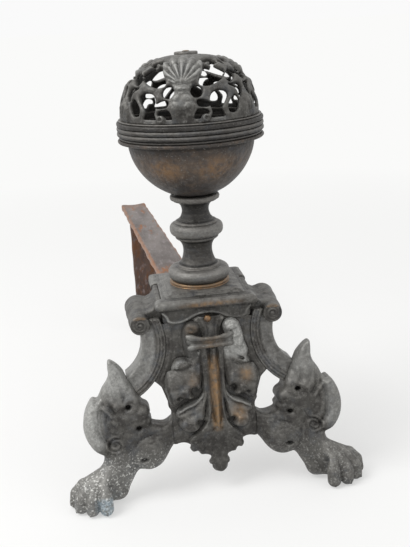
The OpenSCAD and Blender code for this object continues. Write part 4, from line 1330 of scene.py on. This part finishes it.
# Painted highlights on the crowns of the rolls, and painted shade in the grooves between them and
# at the seam below.
turned("reeded_belt", "lid", "lid_belt", turned_bronze,
       [(54.3, 344.5, 1), (57.3, 344.5, 1), (57.3, 350.4, 1), (67.3, 350.35),
        (68.6, 350.8), (68.6, 352.2), (67.6, 352.8, 1), (70.0, 353.3), (70.6, 355.1),
        (70.0, 356.9), (68.3, 357.4, 1), (70.0, 357.9), (70.6, 359.7), (70.0, 361.5),
        (68.3, 362.0, 1), (70.0, 362.5), (70.6, 364.4), (70.0, 366.1), (67.9, 366.6, 1),
        (68.7, 367.0), (68.7, 367.9), (67.8, 368.33, 1), (63.0, 368.33, 1),
        (63.0, 353.5, 1), (54.3, 353.3, 1), (54.3, 344.5)], 0.25, 0.6, 220,
       lambda t, z: {"edge": 0.75 * sum(bell(z, crown, 0.6) for crown in BELT_CROWNS),
                     "soot_and_shade": np.interp(z, *zip(*BELT_GROOVE_SHADE))})
turned("flat_crown_plate", "lid", "crown_plate", turned_bronze,
       [(2.4, 424.35, 1), (11.1, 424.35, 1), (11.2, 426.3), (10.6, 427.2), (9.6, 427.25, 1),
        (2.4, 427.2)], 0.15, 0.4, 90)
turned("crown_rivet_head", "lid", "crown_rivet", copper_worn_bronze,
       [(0.02, 419.2, 1), (3.4, 419.2, 1), (2.0, 420.6, 1), (2.0, 427.3, 1), (3.4, 427.5),
        (3.1, 428.0), (1.8, 428.3), (0.02, 428.31)], 0.05, 0.3, 40)

# %% [markdown]
# The bowl is a thin shell between two arcs about one middle, with a flange at its rim on
# which the belt sits. Heat has browned it, and its middle is rubbed in a few places.

# %% Bowl and collar
CAP_TOP, RING_TOP, TORUS_TOP, KNOP_TOP, NECK_TOP, BOWL_FOOT = (
    202.0, 206.0, 218.5, 263.8, 287.5, 292.0)
BORE = 5.5  # hole for the tie rod through every casting of the baluster
BOWL_OUT, BOWL_IN, BOWL_Z = 61.6, 57.6, 351.43


def bowl_arc(radius, degrees_down):
    return [(radius * math.cos(math.radians(deg)), BOWL_Z + radius * math.sin(math.radians(deg)))
            for deg in degrees_down]


bowl_line = [(BORE, BOWL_FOOT, 1), (14.0, BOWL_FOOT, 1)]
bowl_line += bowl_arc(BOWL_OUT, (-74.6, -66, -57, -48, -39, -30, -21, -12, -4.7))
bowl_line[-1] += (1,)
bowl_line += [(67.5, 346.5), (69.6, 346.7), (70.4, 347.7), (70.3, 348.9), (69.2, 349.8),
              (67.5, 349.9, 1), (57.6, 349.9, 1), (57.6, 344.0, 1)]
bowl_line += bowl_arc(BOWL_IN, (-7, -15, -24, -33, -42, -51, -60, -69))
bowl_line += [(14.0, 298.0, 1), (BORE, 298.0, 1), (BORE, BOWL_FOOT)]
RUBBED_AT = (0.25, 2.9, 5.7)  # turns, in radians from the front


turned("lower_bowl", "stand", "bowl", sooty_bronze, bowl_line,
       0.35, 1.1, 200, lambda t, z: {
           "soot_and_shade": np.interp(z, (292, 300, 312, 334, 340, 346), (0.8, 0.4, 0.15, 0.0, 0.5, 0.6)),
           "wear": (0.6 * bell(z, 325, 11)
                    * (0.2 + sum(bell(t, rubbed, 0.3) for rubbed in RUBBED_AT))),
           "edge": 0.3 * ramp(z, 345, 347)})
turned("saucer_collar", "stand", "bowl_collar", turned_bronze,
       [(BORE, NECK_TOP, 1), (22.4, NECK_TOP), (24.1, 288.2), (24.7, 289.7), (24.4, 291.0),
        (23.6, BOWL_FOOT, 1), (BORE, BOWL_FOOT, 1), (BORE, NECK_TOP)], 0.2, 0.5, 140)

# %% [markdown]
# Two necks, a knop and a torus were cast and turned one by one and threaded on the rod.
# Each neck is darkened where it is thinnest, and chalky dust with a painted highlight lies on top
# of the swellings.

# %% Baluster
turned("upper_neck", "stand", "stem_upper", turned_bronze,
       [(BORE, KNOP_TOP, 1), (20.3, KNOP_TOP), (20.8, 264.5), (20.4, 265.4, 1), (18.0, 266.6),
        (15.3, 269.6), (13.7, 273.6), (13.4, 276.5), (14.0, 280.0), (15.9, 283.2),
        (19.2, 285.7, 1), (21.6, 286.0), (22.0, 286.8), (21.7, NECK_TOP, 1),
        (BORE, NECK_TOP, 1), (BORE, KNOP_TOP)], 0.2, 0.5, 140, lambda t, z: {
           "soot_and_shade": np.interp(z, (KNOP_TOP, 267, 270, 284, NECK_TOP), (0.0, 0.3, 0.7, 0.75, 0.4))})
# Chalky dust with a painted highlight on the upper side of the knop.
turned("knop_and_lower_neck", "stand", "stem_lower", turned_bronze,
       [(BORE, TORUS_TOP, 1), (20.9, TORUS_TOP), (21.4, 219.4), (21.0, 220.8, 1),
        (18.6, 222.4), (16.4, 226.6), (15.0, 231.6), (14.6, 236.0), (15.3, 241.0), (17.6, 245.4),
        (19.4, 247.0, 1), (21.4, 248.4), (21.6, 250.2), (21.3, 251.0, 1), (24.0, 251.9),
        (26.0, 254.1), (26.6, 257.4), (26.1, 260.5), (24.2, 262.9), (20.6, KNOP_TOP, 1),
        (BORE, KNOP_TOP, 1), (BORE, TORUS_TOP)], 0.25, 0.5, 150, lambda t, z: {
           "soot_and_shade": np.interp(z, (218, 222, 232, 245, 249, 251.5), (0.0, 0.2, 0.5, 0.5, 0.4, 0)),
           "chalk_and_highlight": 0.25 * bell(z, 258, 5)})
# Chalky dust with a painted highlight on the upper side of the torus.
turned("base_torus", "stand", "stem_base", turned_bronze,
       [(BORE, RING_TOP, 1), (25.4, RING_TOP), (28.6, 206.9), (30.6, 209.4), (31.0, 212.3),
        (30.5, 215.2), (28.5, 217.6), (25.0, TORUS_TOP, 1), (BORE, TORUS_TOP, 1),
        (BORE, RING_TOP)], 0.25, 0.6, 160, lambda t, z: {
           "soot_and_shade": np.interp(z, (206, 209, 212), (0.7, 0.3, 0.0)),
           "chalk_and_highlight": 0.25 * bell(z, 215, 4)})
turned("copper_ring", "stand", "base_ring", copper_worn_bronze,
       [(BORE, CAP_TOP, 1), (28.4, CAP_TOP), (29.5, 202.9), (29.7, 204.0), (29.4, 205.2),
        (28.4, RING_TOP, 1), (BORE, RING_TOP, 1), (BORE, CAP_TOP)], 0.2, 0.5, 140,
       lambda t, z: {"wear": 0.6 + 0 * z})

# %% [markdown]
# ## The plinth
# The plinth is a hollow casting: one moulding runs round four sides, so a section swept
# round a rectangle gives it. A mesh would need its corners mitred. In clay the moulding
# is the plan's distance plus a number that changes with height, and the corners follow
# by themselves. The fascia carries a thin moulding that curls down at its ends and arches
# over the leaf. Behind and below the plinth is open, with a post for the rod.

# %% Clay of the plinth
HALF_X, HALF_Y = 43.5, 44.5  # the fascia, from the axis
FOOT = 173.0
MOULDING = ((173, -2), (176.6, -0.2), (177.4, 0), (188.6, 0), (189.6, 4.4), (191.2, 6.0),
            (194, 6.5), (196.4, 5.6), (198.1, 2.6), (198.7, 0.4), (199.0, -3.4),
            (201.2, -9), (202, -11.5))
clay = Clay((-52, -53, 171), (52, 53, 204), 0.8)
gx, gy, gz = clay.grid()
sides = -blended(-(np.abs(gx) - HALF_X), -(np.abs(gy) - HALF_Y), 1.5)
sweep = np.interp(gz, *zip(*MOULDING)) + 0.22 * np.sin(gx * 0.21 + gy * 0.17)
sweep = sweep - 0.35 * np.clip(np.sin(gx * 0.5 + 2) * np.sin(gx * 0.13 + gy * 0.31), 0, 1)
block = -blended(-(sides - sweep) * 0.8, -(np.abs(gz - 187.5) - 14.5), 0.6)

fascia = Board((-46, 171), (46, 190), 0.4)
for side in (-1, 1):
    fascia.ridge([(43 * side, 186), (39.5 * side, 182.5), (37.5 * side, 177.5),
                  (32.5 * side, 175.2), (25 * side, 175.6), (18 * side, 179.0),
                  (10 * side, 182.6), (0, 184)], 1.7, 1.3)
fascia.soften(2)
on_front = ramp(gy, -41, -43) * ramp(gz, 189, 188)
block = block - fascia.read(fascia.height, gx + 0 * gz, gz + 0 * gx) * on_front
# the room inside, round the rod's post, and the seats of the two consoles
room = np.maximum(np.maximum(np.abs(gx) - 37.5, -gy - 38.5), gz - 193.5)
room = np.maximum(room, 13 - np.hypot(gx, gy) - 30 * (gz < 180))
block = np.maximum(block, -room)
seat = np.maximum(np.maximum(42.7 - np.abs(gx), np.abs(gy + 10) - 26), gz - 198.6)
block = np.maximum(block, -seat)
clay.field[:] = np.maximum(block, BORE - np.hypot(gx, gy))
print("clay of the plinth:", clay.field.shape)

# %% Cast the plinth
points, faces, marks = cast(clay, 2.0, 1.0, 0.7, 2)
points[:, 2] = np.clip(points[:, 2], FOOT, CAP_TOP)
x, y, z = points.T
outer = np.maximum(np.abs(x) - HALF_X, np.abs(y) - HALF_Y) > -3
rounded = bell(z, 193.6, 2.2) * outer
marks["wear"] = 0.85 * rounded * np.clip(0.45 + 0.55 * np.cos((x - 4) * 0.07), 0, 1)
marks["chalk_and_highlight"] = 0.25 * ramp(z, 191, 195) * ramp(x, -12, -38)
on_line = np.clip(fascia.read(fascia.height, x, z) - 0.35, 0, 1) * (y < -43.5) * (z < 189)
marks["chalk_and_highlight"] = np.maximum(marks["chalk_and_highlight"], on_line * np.clip(0.35 - x / 60, 0.15, 0.9))
# Painted shade on the fascia under the cornice, away from its moulding, and a painted shadow line
# in the crease at the foot of the cap.
marks["soot_and_shade"] = np.maximum(0.4 * ramp(z, 189.5, 187.5) * (1 - on_line),
                           0.7 * bell(z, 198.8, 0.5))
finish_piece("moulded_plinth", "stand", ["plinth"], patinated_bronze,
             points, faces, marks)

# %% [markdown]
# ## The consoles
# Each side has a deep volute, a rolled scroll that widens towards the back, on a shoulder
# that grows out of the plinth, and below it an S-shaped arm that carries the leg. The arm
# is an arc of a ring: its section has a hollow face and three reeds along the inside.
# Both could be swept along curves, but here one formula in clay gives each, and the
# blends with the shoulder come with it. The plinth hides the arm's upper end.

# %% Relief of the volute
VOLUTE = (65.5, 175.5)
volute = Board((50, 158), (82, 190), 0.4)
far = np.hypot(volute.x - VOLUTE[0], volute.z - VOLUTE[1])
coil = np.degrees(np.arctan2(volute.z - VOLUTE[1], volute.x - VOLUTE[0]))
for lap in (0, 1, 2):
    line = 8.2 - 2.9 * (lap + np.mod(40 - coil, 360) / 360)
    volute.height -= 1.7 * bell(far, line, 0.75) * (line > 1.0)
volute.height += 0.9 * np.clip(1 - far / 2.2, 0, 1)
volute.height -= 0.8 * ramp(far, 5, 8)
volute.soften(1)
print("volute grooves down to", round(float(volute.height.min()), 1), "mm")

# %% Cast the volute
clay = Clay((40, -48, 156), (82, 17, 204), 0.8)
gx, gy, gz = clay.grid()
swell = 9.8 + 3.0 * ramp(gy, -46, 14) - 0.25 * np.sin(gy * 0.25)
drum = np.hypot(gx - VOLUTE[0], gz - VOLUTE[1]) - swell
front = -46 - volute.read(volute.height, gx, gz) - gy
drum = -blended(-drum, -front, 1.2)
shoulder = Board((36, 156), (84, 204), 0.4)
shoulder.outline([(42.5, 173), (42.5, 197), (47.5, 197), (48.6, 192.5), (51.5, 188.5),
                  (56, 186.2), (62, 185.6), (67, 184.9), (67, 166.2), (58, 166),
                  (48.5, 169)], parts=1)
web = -blended(-shoulder.read(shoulder.edge, gx, gz), -(-36 - gy), 1.5)
clay.field[:] = np.maximum(blended(drum, web, 2.0), gy - 14)
points, faces, marks = cast(clay)
x, y, z = points.T
marks["wear"] = 0.5 * bell(y, -45.5, 1.5) * (z > 182)
marks["chalk_and_highlight"], marks["soot_and_shade"] = 0.0, 0.25
rolled = points, faces, marks
print("volute:", len(points), "corners")

# %% Cast the arm, then both consoles
ARM = (104, 158)  # middle of the ring that the arm is cut from
clay = Clay((38, -48, 94), (106, -10, 186), 0.8)
gx, gy, gz = clay.grid()
ring_r = np.hypot(gx - ARM[0], gz - ARM[1])
# radius in the ring, and how far forward the face lies there
reeds = ((38.5, -40), (39.6, -42.5), (41.5, -42.6), (45, -41.6), (48.5, -41.6), (52, -43),
         (53.6, -44.6), (54.6, -45.8), (55.6, -45.6), (56.3, -44.4), (57.0, -45.7),
         (58.2, -46.1), (59.0, -45.4), (59.6, -44.3), (60.2, -45.6), (61.2, -45.9),
         (62, -45.2))
face = np.interp(ring_r, *zip(*reeds)) - gy
band = -blended(-(ring_r - 61.9), -(38.5 - ring_r), 1.0)
band = -blended(-band, -face * 0.8, 1.2)
round_by = np.mod(np.degrees(np.arctan2(gz - ARM[1], gx - ARM[0])), 360)
ends = np.maximum(155 - round_by, round_by - 239.5) * math.pi / 180 * ring_r
band = np.maximum(np.maximum(band, gy + 12), ends)
# above z 172 only the front of the arm runs on, up to 181, beside the volute
hidden = np.maximum(gz - 181, np.where(gz > 172, gy + 33, -9))
clay.field[:] = np.maximum(band, hidden)
points, faces, marks = cast(clay)
points = tipped(points)
hollow_face = ramp(np.hypot(points[:, 0] - ARM[0], points[:, 2] - ARM[1]), 53, 50)
for side, name, dust in ((-1, "console_left", 0.22), (1, "console_right", 0.12)):
    marks["chalk_and_highlight"] = 2.2 * dust * hollow_face
    for kind, (where, quads, worn) in (("volute", rolled),
                                       ("scrolled_arm", (points, faces, marks))):
        where, quads = on_side(side, where, quads)
        finish_piece(name.replace("console", kind), "stand", [name],
                     patinated_bronze, where, quads, worn)

# %% [markdown]
# ## The panel behind the leaf
# A plain plate fills the space between the arms. Its edges are raised in a narrow border,
# and round hollows are bitten out where arms and legs pass. A board does for it too. The
# plate is darkened towards its middle, and painted shadows lie under the lobes of the leaf
# and in its eyes.

# %% Cast the panel
panel = Board((-60, 36), (60, 184))
panel.outline([(-58, 181), (58, 181), (58, 120), (50, 112), (44.5, 95), (45, 84), (45, 62),
               (45, 52), (20, 46), (-20, 46), (-45, 52), (-45, 62), (-45, 84), (-44.5, 95),
               (-50, 112), (-58, 120)], parts=1)
for side in (-1, 1):
    for x, z, r in (ARM + (60.8,), (52, 83.5, 10), (34, 39.5, 12.5)):
        hole = np.hypot(panel.x - x * side, panel.z - z) - r
        panel.edge = -blended(-panel.edge, hole, 0.5)
upright = ramp(panel.z, 82, 92)
for inward, half, height in ((-2.2, 1.1, 1.0), (-5.6, 1.0, 0.8)):
    panel.height += height * bell(panel.edge, inward, half) * upright
panel.height += 0.3 * np.sin(panel.x * 0.23 + 1) * np.sin(panel.z * 0.17)
panel.soften(1)
low, high = (-59, -47, 38), (59, -30, 176.5)
clay = Clay(low, high, 0.9)
clay.add(relief_form(panel, low, high, PANEL_FRONT + 0.3, lambda z: PANEL_FRONT + 12, 1.2))
points, faces, marks = cast(clay)
x, y, z = points.T
# Darker towards the middle of the plate; then painted shadows under the upper and lower lobes and
# painted shade in the four eyes, with less dust where they lie.
marks["soot_and_shade"] = 0.4 * bell(x, 0, 22) + 0.15
for at_z, at_x, half in ((97, 28, 8), (63.5, 22, 8), (105, 17.5, 4), (71.5, 13, 4)):
    shade = bell(z, at_z, 4) * bell(np.abs(x - 2), at_x, half)
    marks["soot_and_shade"] = np.maximum(marks["soot_and_shade"], shade)
    marks["edge"] = marks["edge"] * (1 - shade)
finish_piece("bordered_panel", "stand", ["center_panel"],
             patinated_bronze, tipped(points), faces, marks)

# %% [markdown]
# ## Strap and bead
# A strap of two bands binds the leaf's neck. Both bands thicken and part at their ends,
# like the ends of a tied ribbon. Bevelled curves would lie on each other like wires; as
# strands of clay with a web behind they read as one casting. Above sits a bead that shows
# its copper.

# %% Strap
NECK_R, NECK_Y = 55, -4  # round of the neck, and where its middle lies
BANDS = (((-21.5, 162.4, 2.2), (-18, 161.6, 2.8), (-13, 160.6, 2.2), (-6, 160.0, 1.6),
          (3, 160.2, 1.5), (11, 160.6, 1.8), (17, 161.2, 2.6), (21.5, 162, 2.3)),
         ((-20.5, 151.2, 2.0), (-17, 152.0, 2.6), (-12, 152.6, 2.1), (-5, 152.6, 1.6),
          (4, 152.6, 1.5), (12, 152.8, 1.8), (17, 153, 2.4), (21, 152.6, 2.2)))
WEB = ((-19.5, 157, 3.2), (-12, 156.6, 3.4), (0, 156.4, 3.4), (12, 156.6, 3.4),
       (20, 157, 3.2))


def on_neck(points, inward):
    """Puts points of x, z and radius on the round of the neck."""
    return [(x, NECK_Y - math.sqrt(NECK_R ** 2 - x ** 2) + inward, z, r)
            for x, z, r in points]


clay = Clay((-25, -66, 146), (26, -42, 168), 0.5)
for band, inward in ((BANDS[0], 0.0), (BANDS[1], 0.0), (WEB, 3.2)):
    strand(clay, on_neck(band, inward), 1.0)
points, faces, marks = cast(clay, 1.5, 0.8, 0.6, 2)
marks["wear"] = 0.35 * bell(points[:, 0], 0, 9)
marks["chalk_and_highlight"] = 0.3 * ramp(np.abs(points[:, 0]), 14, 19)
# Painted shade in the groove between the two bands, over the web behind them.
marks["soot_and_shade"] = 0.75 * bell(points[:, 2], 156.6, 2.0)
finish_piece("strap_clasp", "stand", ["leaf_clasp"], patinated_bronze,
             tipped(points), faces, marks)

# %% Bead
BEAD = (0, -48, 178)
clay = Clay((-6, -54, 172), (6, -42, 184), 0.35)
clay.add(ball(BEAD, (3.6, 3.6, 3.6)))
clay.add(limb(BEAD, (0, -44.4, 178), 2.2, 2.4), 1.0)
points, faces, marks = cast(clay, 1.0, 1.0, 1.0, 2)
marks["wear"] = 0.8
finish_piece("copper_bead", "stand", ["leaf_bead"], copper_worn_bronze,
             points, faces, marks)

# %% [markdown]
# ## The iron behind
# A smith drew the bar down from a billet and cut its far end; the leg is a flat bar too,
# with a tenon riveted through. A bevelled box would be too straight. Hammered faces are
# never flat, so each face waves a little and the corners are rounded.

# %% Forging
BAR_TURN = math.radians(4.3)  # the bar runs back a little to the left
BAR_ASIDE = 8  # and starts this far left of the axis
# middle, half width, half thickness and end; then the same for the rear leg
BAR_Z, BAR_HALF, BAR_THICK, BAR_LONG = 175, 19, 5, 486
LEG_Y, LEG_HALF, LEG_THICK, LEG_TOP = 390, 18, 4.5, 170.3


def forged(low, high, step, shape):
    """Iron bar whose faces rise and fall a little under the hammer."""
    clay = Clay(low, high, step)
    gx, gy, gz = clay.grid()
    hammered = (0.35 * np.sin(gx * 0.19 + gy * 0.047 + 1) * np.sin(gy * 0.11 + gz * 0.08)
                + 0.2 * np.sin(gy * 0.23 + 2) * np.sin(gz * 0.19 + gx * 0.27))
    clay.field[:] = shape(gx, gy, gz) + 0.45 + hammered
    return cast(clay, 3.0, 1.2, 1.0, 2)


def along_bar(points):
    """Turns iron that was forged straight back to the way the bar runs."""
    c, s = math.cos(BAR_TURN), math.sin(BAR_TURN)
    x = points[:, 0] - BAR_ASIDE
    return np.stack([x * c - points[:, 1] * s, x * s + points[:, 1] * c, points[:, 2]], 1)


def bar_shape(x, y, z):
    """Flat bar with the rod's hole; its far end is cut to a hollow."""
    sides = -blended(-(np.abs(x) - BAR_HALF), -(np.abs(z - BAR_Z) - BAR_THICK), 2.0)
    ends = np.maximum(-20 - y, y - BAR_LONG)
    hollow = 60 - np.hypot(x - 3, y - 544)
    return -blended(-np.maximum(sides, -np.hypot(x - BAR_ASIDE, y + 0 * z) + BORE),
                    -np.maximum(ends, hollow), 1.5)


def leg_shape(x, y, z):
    """Flat leg that spreads at its foot and ends under the bar."""
    thick = LEG_THICK + np.interp(z, (0, 14), (3.5, 0))
    sides = -blended(-(np.abs(x) - LEG_HALF), -(np.abs(y - LEG_Y) - thick), 2.0)
    return np.maximum(sides, z - LEG_TOP)


print("hammer ready")

# %% Bar and rear leg
points, faces, marks = forged((-21, -22, 168), (21, 488, 182), 1.3, bar_shape)
y = points[:, 1]
marks["wear"] = (0.95 * bell(y, 84, 34) + 0.5 * bell(y, 480, 30)
                 + 0.95 * ramp(np.abs(points[:, 0]), 15.5, 17.5) + 0.6 * (points[:, 2] < 173))
marks["edge"] = marks["hollow"] = 0.0
finish_piece("forged_billet_bar", "stand", ["billet_bar"], scaled_iron,
             along_bar(points), faces, marks)

points, faces, marks = forged((-20, 380, -3), (20, 400, 171), 1.2, leg_shape)
points[:, 2] = np.clip(points[:, 2], 0.0, 169.95)
marks["wear"] = 0.3
finish_piece("forged_rear_leg", "stand", ["rear_leg"], rusted_iron,
             along_bar(points), faces, marks)

# %% [markdown]
# ## Fasteners inside
# The rod, its nuts and washers and the screws at the back hardly show, and their CAD
# shapes are right as they are. They only need their rusted finish.

# %% Finish on the fasteners
for name in ("tie_rod", "rod_nuts", "rod_washers", "leg_screws"):
    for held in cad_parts[name].material_slots:
        held.material = rusted_iron
print("fasteners rusted")

# %% [markdown]
# ## Floor, light and air
# A white painted floor under a pale sky, with one large soft lamp above on the left and
# a weak one on the right. More light would bleach the castings, so the white is made
# otherwise: away from the andiron the floor turns from lit paint to its own colour, for
# the camera and for reflections only, and the sky shows brighter to both than it lights.
# Near the andiron half of the paint stays lit, and that half keeps the shadow.

# %% Floor
FLOOR_HALF = 40.0
SHADOW_NEAR, SHADOW_FAR = 0.45, 1.5  # metres from the middle over which lit paint fades


def seen_by_eye(tree):
    """1 for rays from the camera and in reflections, 0 for light on its way."""
    path = add_node(tree, "ShaderNodeLightPath")
    return add_node(tree, "ShaderNodeMath", {"operation": "MAXIMUM"}, {
        0: path.outputs["Is Camera Ray"], 1: path.outputs["Is Glossy Ray"]})


floor_mesh = bpy.data.meshes.new("floor")
floor_mesh.from_pydata([(-FLOOR_HALF, -FLOOR_HALF, 0), (FLOOR_HALF, -FLOOR_HALF, 0),
                        (FLOOR_HALF, FLOOR_HALF, 0), (-FLOOR_HALF, FLOOR_HALF, 0)],
                       [], [(0, 1, 2, 3)])
floor = bpy.data.objects.new("floor", floor_mesh)
bpy.context.collection.objects.link(floor)
white, tree = new_finish("white_floor_paint")
place = add_node(tree, "ShaderNodeTexCoord").outputs["Object"]
distance = add_node(tree, "ShaderNodeVectorMath", {"operation": "LENGTH"}, {0: place})
open_floor = add_node(tree, "ShaderNodeMapRange", {
    "From Min": SHADOW_NEAR, "From Max": SHADOW_FAR, "To Min": 0.5, "To Max": 1.0},
    {"Value": distance.outputs["Value"]})
glow = add_node(tree, "ShaderNodeMath", {"operation": "MULTIPLY"},
                {0: open_floor, 1: seen_by_eye(tree)})
paint = add_node(tree, "ShaderNodeBsdfDiffuse", {"Color": linear("#f7f7f6")})
plain = add_node(tree, "ShaderNodeEmission", {"Color": linear("#fafaf9")})
both = add_node(tree, "ShaderNodeMixShader", {}, {0: glow, 1: paint, 2: plain})
add_node(tree, "ShaderNodeOutputMaterial", {}, {"Surface": both})
floor_mesh.materials.append(white)
print("floor", 2 * FLOOR_HALF, "m wide")

# %% Light and air
AIM = (0, -0.1, 0.2)


def soft_lamp(name, place, size, power):
    """Square lamp that looks at AIM; place and size in metres, power in watts."""
    light = bpy.data.lights.new(name, "AREA")
    light.size = size
    light.energy = power
    lamp = bpy.data.objects.new(name, light)
    bpy.context.collection.objects.link(lamp)
    lamp.location = place
    lamp.rotation_euler = (Vector(AIM) - Vector(place)).to_track_quat("-Z", "Y").to_euler()


soft_lamp("key_softbox", (-1.4, -0.6, 2.0), 1.3, 34)
soft_lamp("fill_softbox", (1.5, -1.2, 1.3), 1.4, 5)
air = bpy.data.worlds.new("air")
bpy.context.scene.world = air
air.use_nodes = True
tree = air.node_tree
tree.nodes.clear()
level = add_node(tree, "ShaderNodeMapRange", {"To Min": 0.62, "To Max": 0.956},
                 {"Value": seen_by_eye(tree)})
sky = add_node(tree, "ShaderNodeBackground", {"Color": (1, 1, 1, 1)}, {"Strength": level})
add_node(tree, "ShaderNodeOutputWorld", {}, {"Surface": sky})
bpy.context.scene.view_settings.view_transform = "Standard"
print("two lamps and a pale sky")
